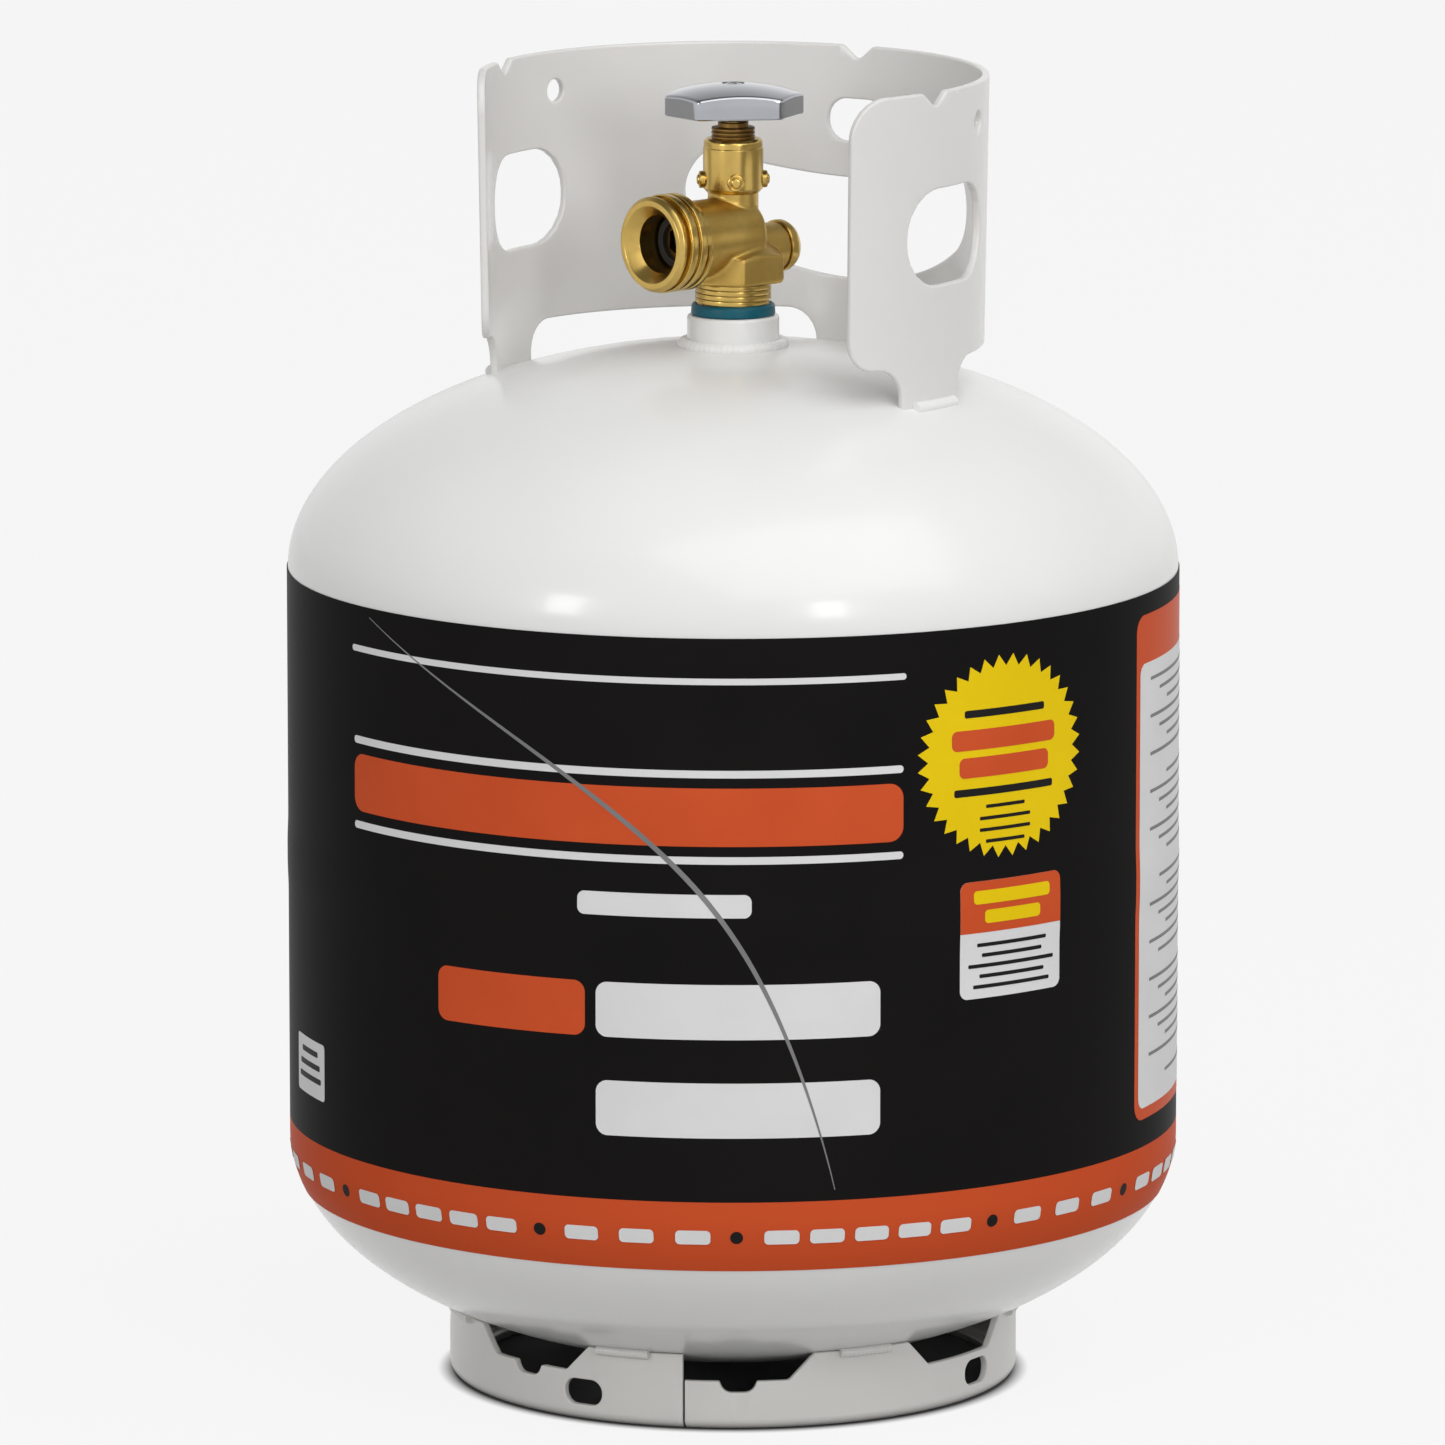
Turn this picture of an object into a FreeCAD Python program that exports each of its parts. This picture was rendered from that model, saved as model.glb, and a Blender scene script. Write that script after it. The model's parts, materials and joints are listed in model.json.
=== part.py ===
import FreeCAD, Part
import math
import os
from FreeCAD import Vector

os.makedirs("parts", exist_ok=True)

# Portable propane cylinder for caravans, millimetres, +Z up, standing on z = 0 on the axis.
# Bearings are turned about Z: 0 faces the front (-Y) and they grow towards +X.

# ---- driving sizes -------------------------------------------------------------------
SEAT = 0.05            # gap between two solids that touch on a curved face
FIT = 0.05             # radial gap of a shaft that turns or slides in its hole
RUN = 0.35             # gap between two bodies that move past each other

# pressure vessel
SHELL_R = 155.0
SHELL_WALL = 2.3
HEAD_DEPTH = 77.5
POLE_FLAT_R = 1.0      # flat at the very middle of a head
FLOOR_GAP = 9.0        # under the lowest point of the vessel
SIDE_HEIGHT = 199.5    # straight side between the two heads
SEAM_HEIGHT = 99.5     # girth weld above the lower end of the straight side
SEAM_GAP = 1.0         # root opening of the girth weld
LIP_HEIGHT = 12.0      # joggled lip that backs the girth weld
BEAD_WIDTH = 9.0
BEAD_CROWN = 0.8
FILM = 0.25            # printed shrink sleeve
SLEEVE_UNDER = 19.0    # how far the sleeve is shrunk down over the lower knuckle
SLEEVE_OVER = 0.2

# boss and valve inlet
INLET_R = 13.2
INLET_TAPER = 0.6      # radius lost over the length of the inlet thread
SHANK_DEPTH = 24.0     # inlet below the top of the boss
BOSS_WALL = 2.8
BOSS_PROUD = 10.5
BOSS_DEPTH = 22.0
BOSS_CHAMFER = 1.0
NECK_WELD = 4.0
SEALANT_HEIGHT = 4.2
SEALANT_WIDTH = 1.5
THREAD_PITCH = 1.81
THREAD_DEPTH = 1.0
THREAD_SHOWN = 11.6    # from the top of the boss to the underside of the hexagon

# foot ring
RING_R = 99.5
RING_WALL = 2.6
RING_GAP = 0.67        # what the ring's outer edge stays below the head
RING_CURL_R = 4.0
RING_CURL_IN = 8.0
RING_SLIT = 0.7
RING_SLIT_AT = -9.9
WINDOW_COUNT = 7
WINDOW_FIRST = 1.0
WINDOW_PITCH = 52.2
WINDOW_HALF_TOP = 15.5
WINDOW_HALF_FLOOR = 10.2
WINDOW_DEPTH = 9.2
DRAIN_WIDTH = 14.5
DRAIN_DEPTH = 4.0
SLOT_LENGTH = 15.0
SLOT_HEIGHT = 9.0
SLOT_Z = 10.2
SLOT_BEARINGS = (-31.5, 58.5, 148.5, 238.5)
FOOT_WELD_SPAN = 11.0
FOOT_WELD_LEG = 2.6

# collar
COLLAR_TOP_R = 88.7
COLLAR_LEAN = 0.016    # radius gained per millimetre of height
COLLAR_WALL = 2.7
COLLAR_STANDOFF = 1.0  # lower edge of the sheet above the top of the vessel
COLLAR_HEIGHT = 94.0
COLLAR_MIDDLE = 149.5  # bearing of the middle of the collar
COLLAR_HALF_SPAN = 122.5
COLLAR_TOP_CORNER = 14.5
COLLAR_LOW_CORNER = 10.0
FOOT_OFFSETS = (-97.5, 0.0, 97.5)
FOOT_WIDTH = 31.0
FOOT_FILLET = 11.0
GRIP_OFFSETS = (-90.5, 90.5)
GRIP_WIDTH = 49.0
GRIP_HEIGHT = 33.5
GRIP_CORNER = 15.5
GRIP_UP = 43.7         # middle of the side hand holes above the sheet's lower edge
LOCK_HOLE_OFFSETS = (-77.0, 77.0)
LOCK_HOLE_R = 4.0
LOCK_HOLE_DOWN = 14.0  # below the sheet's top edge
NOTCH_OFFSETS = (-98.0, 0.0, 98.0)
NOTCH_WIDTH = 14.0
NOTCH_DEPTH = 4.0
HANG_HOLE_WIDTH = 23.0
HANG_HOLE_HEIGHT = 15.0
HANG_HOLE_DOWN = 26.5
SMILE_TOP_HALF = 52.3  # half widths and heights of the curved opening in the back
SMILE_OUTER_HALF = 58.6
SMILE_LOW_HALF = 50.5
SMILE_LOW_MID_UP = 11.5
SMILE_LOW_END_UP = 26.5
SMILE_OUTER_UP = 42.0
SMILE_TOP_MID_UP = 47.1
SMILE_TOP_END_UP = 55.5
GRIP_LIP = 9.5         # how far the rolled hand grip stands out of the collar
COLLAR_WELD_SPAN = 14.0
COLLAR_WELD_LEG = 3.4

# valve forging; heights are above the underside of its hexagon
OUTLET_AT = -48.0      # bearing of the outlet; the relief port is opposite
OUTLET_UP = 16.1
RELIEF_UP = 10.4
SEAT_UP = 10.4
HEX_FLATS = 32.0
HEX_HEIGHT = 9.4
SHOULDER_UP = 15.4
COLUMN_R = 8.8
COLUMN_UP = 31.1
BARREL_R = 13.5
BARREL_START = 6.9
ACME_R = 17.1
ACME_ROOT_R = 15.0
ACME_PITCH = 4.23
ACME_START = 23.0
ACME_END = 35.6
NOSE_END = 38.6
OUTLET_BORE_R = 10.0
MOUTH_FLARE = 3.5
MOUTH_DEPTH = 4.0
SOCKET_DEPTH = 11.6    # wide bore of the outlet, from its nose
CHECK_BORE_STEP = 0.7
CHECK_BORE_DEPTH = 14.0
PASSAGE_R = 4.8
INLET_BORE_R = 5.5
ORIFICE_R = 3.5
CHAMBER_R = 7.1
SPIGOT_WALL = 1.0
SPIGOT_HEIGHT = 5.3
RELIEF_BORE_R = 6.0
RELIEF_WALL = 2.5
RELIEF_END = 19.9
RELIEF_FLOOR = 13.0
RELIEF_ORIFICE_R = 3.0
CAP_LENGTH = 5.2
CAP_WALL = 1.5
CAP_STEP = 0.6
VENT_R = 0.75

# bonnet, gland and stem
BONNET_WALL = 2.3
BONNET_HEIGHT = 19.0
BONNET_ROUND = 1.8
PIN_R = 3.0
PIN_PROUD = 2.2
PIN_UP = 4.5
PIN_BEARINGS = (5.0, 95.0, 185.0, 275.0)
STEM_R = 4.0
STEM_FLANGE_R = 6.0
STEM_FLANGE_UP = 4.9
STEM_FLANGE_H = 2.4
STEM_SQUARE_SHARE = 1.4
GLAND_STEP = 2.1       # steps in radius from the stem's bore outwards
GLAND_NOSE_WALL = 1.25
GLAND_SPIGOT_WALL = 1.45
GLAND_HEIGHT = 3.8
GLAND_NOSE = 1.9
GLAND_SPIGOT = 2.6
TANG_WIDTH = 7.0
TANG_THICK = 2.4
TANG_REACH = 2.4       # how far the tang is in the plug's slot when closed
ORING_R = 0.6
ORING_UPS = (3.4, 6.6)  # above the stem's flange
PLUG_CLEAR = 0.4
PLUG_UP = 12.0
PLUG_HEIGHT = 8.0
PLUG_LIFT = 2.25       # 1.5 turns at 1.5 mm a turn
DISC_R = 4.7
DISC_THICK = 3.0

# handwheel
WHEEL_FLAT = 19.8      # axis to each long facet
WHEEL_CORNER = 24.7    # axis to each corner
WHEEL_FACING = 7.0     # bearing of the first long facet
WHEEL_STANDOFF = 2.6
WHEEL_HEIGHT = 10.8
WHEEL_DOME_R = 78.0
WHEEL_WALL = 2.4
WHEEL_EDGE = 1.5
HUB_WALL = 2.6
HUB_STANDOFF = 0.5
STEM_TOP_DOWN = 5.6    # top of the stem below the top of the wheel
SCREW_R = 3.5
SCREW_HEAD = 1.8
SCREW_SHANK_R = 1.9
SCREW_LENGTH = 7.0

# outlet check and relief parts
SLEEVE_WALL = 2.0
SLEEVE_FRONT = 3.5
KEY_FLATS = 10.0       # hexagonal opening in front of the check
GASKET_THICK = 2.0
GASKET_WIDTH = 2.7
CHECK_PLAY = 0.6       # radial play of the check in its sleeve
CHECK_THICK = 2.2
CHECK_NOSE_R = 3.9
CHECK_NOSE = 3.0
CHECK_TAIL_R = 2.4
CHECK_TRAVEL = 2.5
COIL_WIRE_R = 0.5
CHECK_COIL_TURNS = 3
RELIEF_PLAY = 0.5
RELIEF_DISC = 1.8
RELIEF_GUIDE_R = 2.2
RELIEF_TRAVEL = 2.0
RELIEF_COIL_R = 3.6
RELIEF_COIL_TURNS = 5

# fixed level gauge: vent screw and dip tube
VENT_AT = -138.0
VENT_UP = 5.4
VENT_BOSS_R = 4.6
VENT_BOSS_END = 20.5
VENT_STEM_R = 2.0
VENT_STEM_START = 13.0
VENT_HEAD_R = 3.9
VENT_HEAD = 4.2
DIP_AT = 9.0           # distance of the dip tube from the valve axis
DIP_R = 1.6
DIP_BORE_R = 0.9
DIP_LENGTH = 88.0      # below the end of the inlet

# overfill stop, hung from the end of the inlet; the float rises towards this bearing
STOP_AT = 42.0
STOP_OFFSET = 3.0
STOP_R = 8.5
STOP_BORE_R = 6.2
STOP_SPIGOT = 6.0
STOP_FLOOR_DOWN = 26.0
STOP_FORK_DOWN = 32.0
STOP_END_DOWN = 43.0
STOP_WINDOW_DOWN = 10.0
STOP_WINDOW_R = 2.6
PIVOT_DOWN = 38.0
PIVOT_R = 1.25
PISTON_PLAY = 0.4
PISTON_THICK = 3.0
ROD_R = 1.5
CAM_HUB_R = 3.4
CAM_NOSE_R = 1.8
CAM_PLAY = 0.6         # what the cam nose stays short of the rod at full lift
CAM_ANGLE = 80.0
ROD_CLEAR = 0.4
PISTON_LIFT = 3.0
ARM_WIDTH = 5.0
ARM_THICK = 3.0
ARM_SIDE_PLAY = 0.5
ARM_LENGTH = 22.0
ARM_WIRE_R = 1.6
FLOAT_R = 8.5
FLOAT_LENGTH = 62.0
FLOAT_ROUND = 3.0

# ---- places worked out from them -----------------------------------------------------
LOWER_TANGENT_Z = FLOOR_GAP + HEAD_DEPTH
UPPER_TANGENT_Z = LOWER_TANGENT_Z + SIDE_HEIGHT
SEAM_Z = LOWER_TANGENT_Z + SEAM_HEIGHT
SLEEVE_LOW_Z = LOWER_TANGENT_Z - SLEEVE_UNDER
SLEEVE_TOP_Z = UPPER_TANGENT_Z + SLEEVE_OVER
HEAD_TOP_Z = UPPER_TANGENT_Z + HEAD_DEPTH

RING_HEAD_SHARE = math.sqrt(1.0 - (RING_R / SHELL_R) ** 2)
RING_TOP_Z = LOWER_TANGENT_Z - HEAD_DEPTH * RING_HEAD_SHARE - RING_GAP
WINDOW_FLOOR_Z = RING_TOP_Z - WINDOW_DEPTH

COLLAR_LOW_Z = HEAD_TOP_Z + COLLAR_STANDOFF
COLLAR_TOP_Z = COLLAR_LOW_Z + COLLAR_HEIGHT
GRIP_Z = COLLAR_LOW_Z + GRIP_UP
LOCK_HOLE_Z = COLLAR_TOP_Z - LOCK_HOLE_DOWN
HANG_HOLE_Z = COLLAR_TOP_Z - HANG_HOLE_DOWN
SMILE_TOP_MID_Z = COLLAR_LOW_Z + SMILE_TOP_MID_UP
SMILE_TOP_END = (SMILE_TOP_HALF, COLLAR_LOW_Z + SMILE_TOP_END_UP)
SMILE_OUTER_END = (SMILE_OUTER_HALF, COLLAR_LOW_Z + SMILE_OUTER_UP)
SMILE_LOW_END = (SMILE_LOW_HALF, COLLAR_LOW_Z + SMILE_LOW_END_UP)
SMILE_LOW_MID_Z = COLLAR_LOW_Z + SMILE_LOW_MID_UP

BOSS_R = INLET_R + BOSS_WALL
BOSS_TOP_Z = HEAD_TOP_Z + BOSS_PROUD
SHANK_BOTTOM_Z = BOSS_TOP_Z - SHANK_DEPTH
SEALANT_TOP_Z = BOSS_TOP_Z + SEALANT_HEIGHT
SEALANT_R = INLET_R + SEALANT_WIDTH
HEX_LOW_Z = BOSS_TOP_Z + THREAD_SHOWN
HEX_TOP_Z = HEX_LOW_Z + HEX_HEIGHT
SHOULDER_TOP_Z = HEX_LOW_Z + SHOULDER_UP
OUTLET_Z = HEX_LOW_Z + OUTLET_UP
RELIEF_Z = HEX_LOW_Z + RELIEF_UP
SEAT_Z = HEX_LOW_Z + SEAT_UP
VENT_Z = HEX_LOW_Z + VENT_UP
COLUMN_TOP_Z = HEX_LOW_Z + COLUMN_UP
SPIGOT_TOP_Z = COLUMN_TOP_Z + SPIGOT_HEIGHT
SPIGOT_R = CHAMBER_R + SPIGOT_WALL
RELIEF_R = RELIEF_BORE_R + RELIEF_WALL
CAP_R = RELIEF_R + CAP_STEP
RELIEF_AT = OUTLET_AT + 180.0
MOUTH_R = OUTLET_BORE_R + MOUTH_FLARE
SOCKET_FLOOR = NOSE_END - SOCKET_DEPTH
CHECK_FLOOR = SOCKET_FLOOR - CHECK_BORE_DEPTH
CHECK_BORE_R = OUTLET_BORE_R - CHECK_BORE_STEP

BONNET_SKIRT_R = SPIGOT_R + SEAT
BONNET_R = BONNET_SKIRT_R + BONNET_WALL
BONNET_TOP_Z = COLUMN_TOP_Z + BONNET_HEIGHT
PIN_Z = COLUMN_TOP_Z + PIN_UP
STEM_BORE_R = STEM_R + FIT
STEM_SQUARE = STEM_R * STEM_SQUARE_SHARE
STEM_FLANGE_Z = COLUMN_TOP_Z + STEM_FLANGE_UP
GLAND_SPIGOT_R = STEM_BORE_R + GLAND_SPIGOT_WALL
GLAND_NOSE_R = STEM_BORE_R + GLAND_NOSE_WALL
GLAND_R = GLAND_SPIGOT_R + GLAND_STEP
GLAND_TOP_Z = BONNET_TOP_Z + GLAND_HEIGHT
GLAND_NOSE_Z = GLAND_TOP_Z + GLAND_NOSE
ORING_ZS = [STEM_FLANGE_Z + STEM_FLANGE_H + up for up in ORING_UPS]
PLUG_R = CHAMBER_R - PLUG_CLEAR
PLUG_LOW_Z = SEAT_Z + PLUG_UP
PLUG_TOP_Z = PLUG_LOW_Z + PLUG_HEIGHT
TANG_LOW_Z = PLUG_TOP_Z - TANG_REACH

WHEEL_LOW_Z = GLAND_NOSE_Z + WHEEL_STANDOFF
WHEEL_TOP_Z = WHEEL_LOW_Z + WHEEL_HEIGHT
HUB_LOW_Z = GLAND_NOSE_Z + HUB_STANDOFF
HUB_R = STEM_R + HUB_WALL
STEM_TOP_Z = WHEEL_TOP_Z - STEM_TOP_DOWN

GASKET_BORE_R = CHECK_BORE_R - GASKET_WIDTH
SLEEVE_END = SOCKET_FLOOR - GASKET_THICK
SLEEVE_BORE_R = CHECK_BORE_R - SLEEVE_WALL
CHECK_R = SLEEVE_BORE_R - CHECK_PLAY
CHECK_COIL_R = SLEEVE_BORE_R - CHECK_PLAY - COIL_WIRE_R
CHECK_FACE = SLEEVE_END - SLEEVE_FRONT - RUN
CHECK_BACK = CHECK_FACE - CHECK_THICK
RELIEF_DISC_R = RELIEF_BORE_R - RELIEF_PLAY
RELIEF_BACK = RELIEF_FLOOR + RUN + RELIEF_DISC
CAP_END = RELIEF_END + CAP_LENGTH

DIP_END_Z = SHANK_BOTTOM_Z - DIP_LENGTH
STOP_FLOOR_Z = SHANK_BOTTOM_Z - STOP_FLOOR_DOWN
STOP_FORK_Z = SHANK_BOTTOM_Z - STOP_FORK_DOWN
STOP_END_Z = SHANK_BOTTOM_Z - STOP_END_DOWN
STOP_WINDOW_Z = SHANK_BOTTOM_Z - STOP_WINDOW_DOWN
PIVOT_Z = SHANK_BOTTOM_Z - PIVOT_DOWN
FORK_SLOT = ARM_THICK + 2.0 * ARM_SIDE_PLAY
PISTON_R = STOP_BORE_R - PISTON_PLAY
PISTON_LOW_Z = STOP_FLOOR_Z + RUN
ROD_LOW_Z = PIVOT_Z + CAM_HUB_R + ROD_CLEAR
ARM_END_Z = PIVOT_Z - ARM_LENGTH

Z_AXIS = Vector(0, 0, 1)
CENTRE = Vector(0, 0, 0)


# ---- helpers -------------------------------------------------------------------------
def rz(r, z):
    return Vector(r, 0, z)


def outline(corners):
    """Closed wire through corners (vector, radius); a radius above 0 rounds that corner."""
    count = len(corners)
    ends = []
    for i, (here, radius) in enumerate(corners):
        if radius <= 0:
            ends.append((here, None, here))
            continue
        to_last = (corners[i - 1][0] - here).normalize()
        to_next = (corners[(i + 1) % count][0] - here).normalize()
        half = to_last.getAngle(to_next) / 2.0
        middle = (to_last + to_next).normalize()
        centre = here + middle * (radius / math.sin(half))
        reach = radius / math.tan(half)
        ends.append((here + to_last * reach, centre - middle * radius, here + to_next * reach))
    edges = []
    for i, (start, bulge, end) in enumerate(ends):
        if bulge is not None:
            edges.append(Part.Arc(start, bulge, end).toShape())
        following = ends[(i + 1) % count][0]
        if end.distanceToPoint(following) > 1e-6:
            edges.append(Part.LineSegment(end, following).toShape())
    return Part.Wire(edges)


def turned(corners, sweep=360.0):
    """Solid turned about Z from an outline of (radius, z) or (radius, z, rounding)."""
    wire = outline([(rz(c[0], c[1]), c[2] if len(c) > 2 else 0) for c in corners])
    return Part.Face(wire).revolve(CENTRE, Z_AXIS, sweep)


def at_bearing(shape, bearing):
    """Turn a shape built along +X to a bearing."""
    placed = shape.copy()
    placed.rotate(CENTRE, Z_AXIS, bearing - 90.0)
    return placed


def sector(corners, bearing, span):
    """Part of a turned ring, centred on a bearing."""
    return at_bearing(turned(corners, span), bearing - span / 2.0)


def radial_prism(corners, bearing, start, end):
    """Prism along a bearing, from an outline of (sideways, z, rounding)."""
    wire = outline([(Vector(start, c[0], c[1]), c[2]) for c in corners])
    return at_bearing(Part.Face(wire).extrude(Vector(end - start, 0, 0)), bearing)


def rounded_window(width, height, z, corner):
    w, h = width / 2.0, height / 2.0
    return [(-w, z - h, corner), (w, z - h, corner), (w, z + h, corner), (-w, z + h, corner)]


def radial_cylinder(radius, bearing, start, end, z, side=0.0):
    rod = Part.makeCylinder(radius, end - start, Vector(start, side, z), Vector(1, 0, 0))
    return at_bearing(rod, bearing)


def along_port(corners, bearing, z):
    """Solid turned about a horizontal port axis, from (distance from Z, radius, rounding)."""
    wire = outline([(Vector(c[0], 0, c[1]), c[2] if len(c) > 2 else 0) for c in corners])
    solid = Part.Face(wire).revolve(CENTRE, Vector(1, 0, 0), 360.0)
    solid.translate(Vector(0, 0, z))
    return at_bearing(solid, bearing)


def hexagon(flats, low, high):
    """Hexagonal prism about Z with a corner on +X."""
    corner = flats / math.sqrt(3.0)
    points = [Vector(corner * math.cos(math.radians(a)), corner * math.sin(math.radians(a)), low)
              for a in range(0, 360, 60)]
    return Part.Face(outline([(p, 0) for p in points])).extrude(Vector(0, 0, high - low))


def coil(radius, length, turns, wire_r):
    """Helical spring along +Z from z = 0, measured over the wire."""
    rise = length - 2.0 * wire_r
    path = Part.makeHelix(rise / turns, rise, radius)
    path.translate(Vector(0, 0, wire_r))
    circle = Part.makeCircle(wire_r, Vector(radius, 0, wire_r), Vector(0, 1, 0))
    return Part.Wire(path.Edges).makePipeShell([Part.Wire(circle)], True, True)


def point_out(shape, bearing, start, z):
    """Lay a shape built along +Z onto a port axis, its foot at a distance from the axis."""
    placed = shape.copy()
    placed.rotate(CENTRE, Vector(0, 1, 0), 90.0)
    placed.translate(Vector(start, 0, z))
    return at_bearing(placed, bearing)


def half_ellipse(radius, depth, centre_z, r_from, r_to, sign):
    """Arc of a head's meridian between two radii, on the upper or lower side."""
    ellipse = Part.Ellipse(rz(radius, centre_z), rz(0, centre_z + sign * depth), rz(0, centre_z))
    first = math.acos(min(1.0, r_from / radius))
    last = math.acos(min(1.0, r_to / radius))
    return Part.ArcOfEllipse(ellipse, min(first, last), max(first, last)).toShape()


def head_z(r, grow=0.0, sign=1):
    """Height of the outer face of a head at a radius, with the face moved out by grow."""
    tangent = UPPER_TANGENT_Z if sign > 0 else LOWER_TANGENT_Z
    share = math.sqrt(1.0 - (r / (SHELL_R + grow)) ** 2)
    return tangent + sign * (HEAD_DEPTH + grow) * share


def closed_head(radius, depth, centre_z, sign):
    """Meridian of a whole head, with a small flat at its pole, and the flat's height."""
    z = centre_z + sign * depth * math.sqrt(1.0 - (POLE_FLAT_R / radius) ** 2)
    arc = half_ellipse(radius, depth, centre_z, radius, POLE_FLAT_R, sign)
    return [arc, Part.LineSegment(rz(POLE_FLAT_R, z), rz(0, z)).toShape()], z


def vessel_envelope(grow):
    """The whole outside of the vessel as one block, moved out by grow."""
    r, depth = SHELL_R + grow, HEAD_DEPTH + grow
    lower, low = closed_head(r, depth, LOWER_TANGENT_Z, -1)
    upper, high = closed_head(r, depth, UPPER_TANGENT_Z, 1)
    edges = lower + upper
    edges.append(Part.LineSegment(rz(r, LOWER_TANGENT_Z), rz(r, UPPER_TANGENT_Z)).toShape())
    edges.append(Part.LineSegment(rz(0, high), rz(0, low)).toShape())
    return Part.Face(Part.Wire(Part.__sortEdges__(edges))).revolve(CENTRE, Z_AXIS, 360.0)


def collar_r(z):
    """Outer radius of the leaning collar wall at a height."""
    return COLLAR_TOP_R - COLLAR_LEAN * (COLLAR_TOP_Z - z)


def save(shape, name):
    solids = shape.Solids
    whole = solids[0] if len(solids) == 1 else Part.makeCompound(solids)
    whole.exportStep("parts/" + name + ".step")
    print(name, len(solids), "solid(s)", round(whole.Volume, 1), whole.isValid())


# ---- pressure vessel -----------------------------------------------------------------
def upper_shell():
    hole = BOSS_R + SEAT
    inner_r, inner_depth = SHELL_R - SHELL_WALL, HEAD_DEPTH - SHELL_WALL
    low = SEAM_Z + SEAM_GAP / 2.0
    inner_top = UPPER_TANGENT_Z + inner_depth * math.sqrt(1.0 - (hole / inner_r) ** 2)
    edges = [
        half_ellipse(SHELL_R, HEAD_DEPTH, UPPER_TANGENT_Z, SHELL_R, hole, 1),
        Part.LineSegment(rz(hole, head_z(hole)), rz(hole, inner_top)).toShape(),
        half_ellipse(inner_r, inner_depth, UPPER_TANGENT_Z, inner_r, hole, 1),
        Part.LineSegment(rz(inner_r, UPPER_TANGENT_Z), rz(inner_r, low)).toShape(),
        Part.LineSegment(rz(inner_r, low), rz(SHELL_R, low)).toShape(),
        Part.LineSegment(rz(SHELL_R, low), rz(SHELL_R, UPPER_TANGENT_Z)).toShape(),
    ]
    return Part.Face(Part.Wire(Part.__sortEdges__(edges))).revolve(CENTRE, Z_AXIS, 360.0)


def lower_shell():
    inner_r, inner_depth = SHELL_R - SHELL_WALL, HEAD_DEPTH - SHELL_WALL
    shoulder = SEAM_Z - SEAM_GAP / 2.0
    lip_out = inner_r - SEAT
    lip_in = lip_out - SHELL_WALL
    lip_top = shoulder + SEAM_GAP + LIP_HEIGHT
    step = SHELL_WALL * 2.0
    points = [
        rz(SHELL_R, LOWER_TANGENT_Z), rz(SHELL_R, shoulder), rz(lip_out, shoulder),
        rz(lip_out, lip_top), rz(lip_in, lip_top), rz(lip_in, shoulder - step),
        rz(inner_r, shoulder - 2.0 * step), rz(inner_r, LOWER_TANGENT_Z),
    ]
    edges = [Part.LineSegment(a, b).toShape() for a, b in zip(points, points[1:])]
    inner_head, inner_low = closed_head(inner_r, inner_depth, LOWER_TANGENT_Z, -1)
    outer_head, outer_low = closed_head(SHELL_R, HEAD_DEPTH, LOWER_TANGENT_Z, -1)
    edges += inner_head + outer_head
    edges.append(Part.LineSegment(rz(0, inner_low), rz(0, outer_low)).toShape())
    return Part.Face(Part.Wire(Part.__sortEdges__(edges))).revolve(CENTRE, Z_AXIS, 360.0)


def girth_weld():
    root_r = SHELL_R - SHELL_WALL + SEAT
    gap = SEAM_GAP / 2.0 - SEAT
    face = SHELL_R + SEAT
    half = BEAD_WIDTH / 2.0
    crown = face + BEAD_CROWN
    return turned([
        (root_r, SEAM_Z - gap), (face, SEAM_Z - gap), (face, SEAM_Z - half),
        (crown, SEAM_Z - half * 0.45, 6.0), (crown, SEAM_Z + half * 0.45, 6.0),
        (face, SEAM_Z + half), (face, SEAM_Z + gap), (root_r, SEAM_Z + gap),
    ])


def label_sleeve():
    """Film shrunk round the vessel, over the girth weld and onto the lower knuckle."""
    def meridian(grow):
        r, depth = SHELL_R + grow, HEAD_DEPTH + grow
        low_r = r * math.sqrt(1.0 - ((LOWER_TANGENT_Z - SLEEVE_LOW_Z) / depth) ** 2)
        over = r + BEAD_CROWN + SEAT
        half = BEAD_WIDTH / 2.0 + SEAT
        corners = [rz(r, LOWER_TANGENT_Z), rz(r, SEAM_Z - half), rz(over, SEAM_Z - half * 0.45),
                   rz(over, SEAM_Z + half * 0.45), rz(r, SEAM_Z + half), rz(r, SLEEVE_TOP_Z)]
        lines = [Part.LineSegment(a, b).toShape() for a, b in zip(corners, corners[1:])]
        return [half_ellipse(r, depth, LOWER_TANGENT_Z, r, low_r, -1)] + lines, low_r

    inside, inner_low = meridian(2.0 * SEAT)
    outside, outer_low = meridian(2.0 * SEAT + FILM)
    ends = [
        Part.LineSegment(rz(inner_low, SLEEVE_LOW_Z), rz(outer_low, SLEEVE_LOW_Z)).toShape(),
        Part.LineSegment(rz(SHELL_R + 2.0 * SEAT, SLEEVE_TOP_Z),
                         rz(SHELL_R + 2.0 * SEAT + FILM, SLEEVE_TOP_Z)).toShape(),
    ]
    wire = Part.Wire(Part.__sortEdges__(inside + outside + ends))
    return Part.Face(wire).revolve(CENTRE, Z_AXIS, 360.0)


def neck_boss():
    bottom = BOSS_TOP_Z - BOSS_DEPTH
    taper = INLET_TAPER * BOSS_DEPTH / (HEX_LOW_Z - SHANK_BOTTOM_Z)
    return turned([
        (INLET_R + SEAT - taper, bottom), (BOSS_R, bottom), (BOSS_R, BOSS_TOP_Z, BOSS_CHAMFER),
        (INLET_R + SEAT, BOSS_TOP_Z),
    ])


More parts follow.
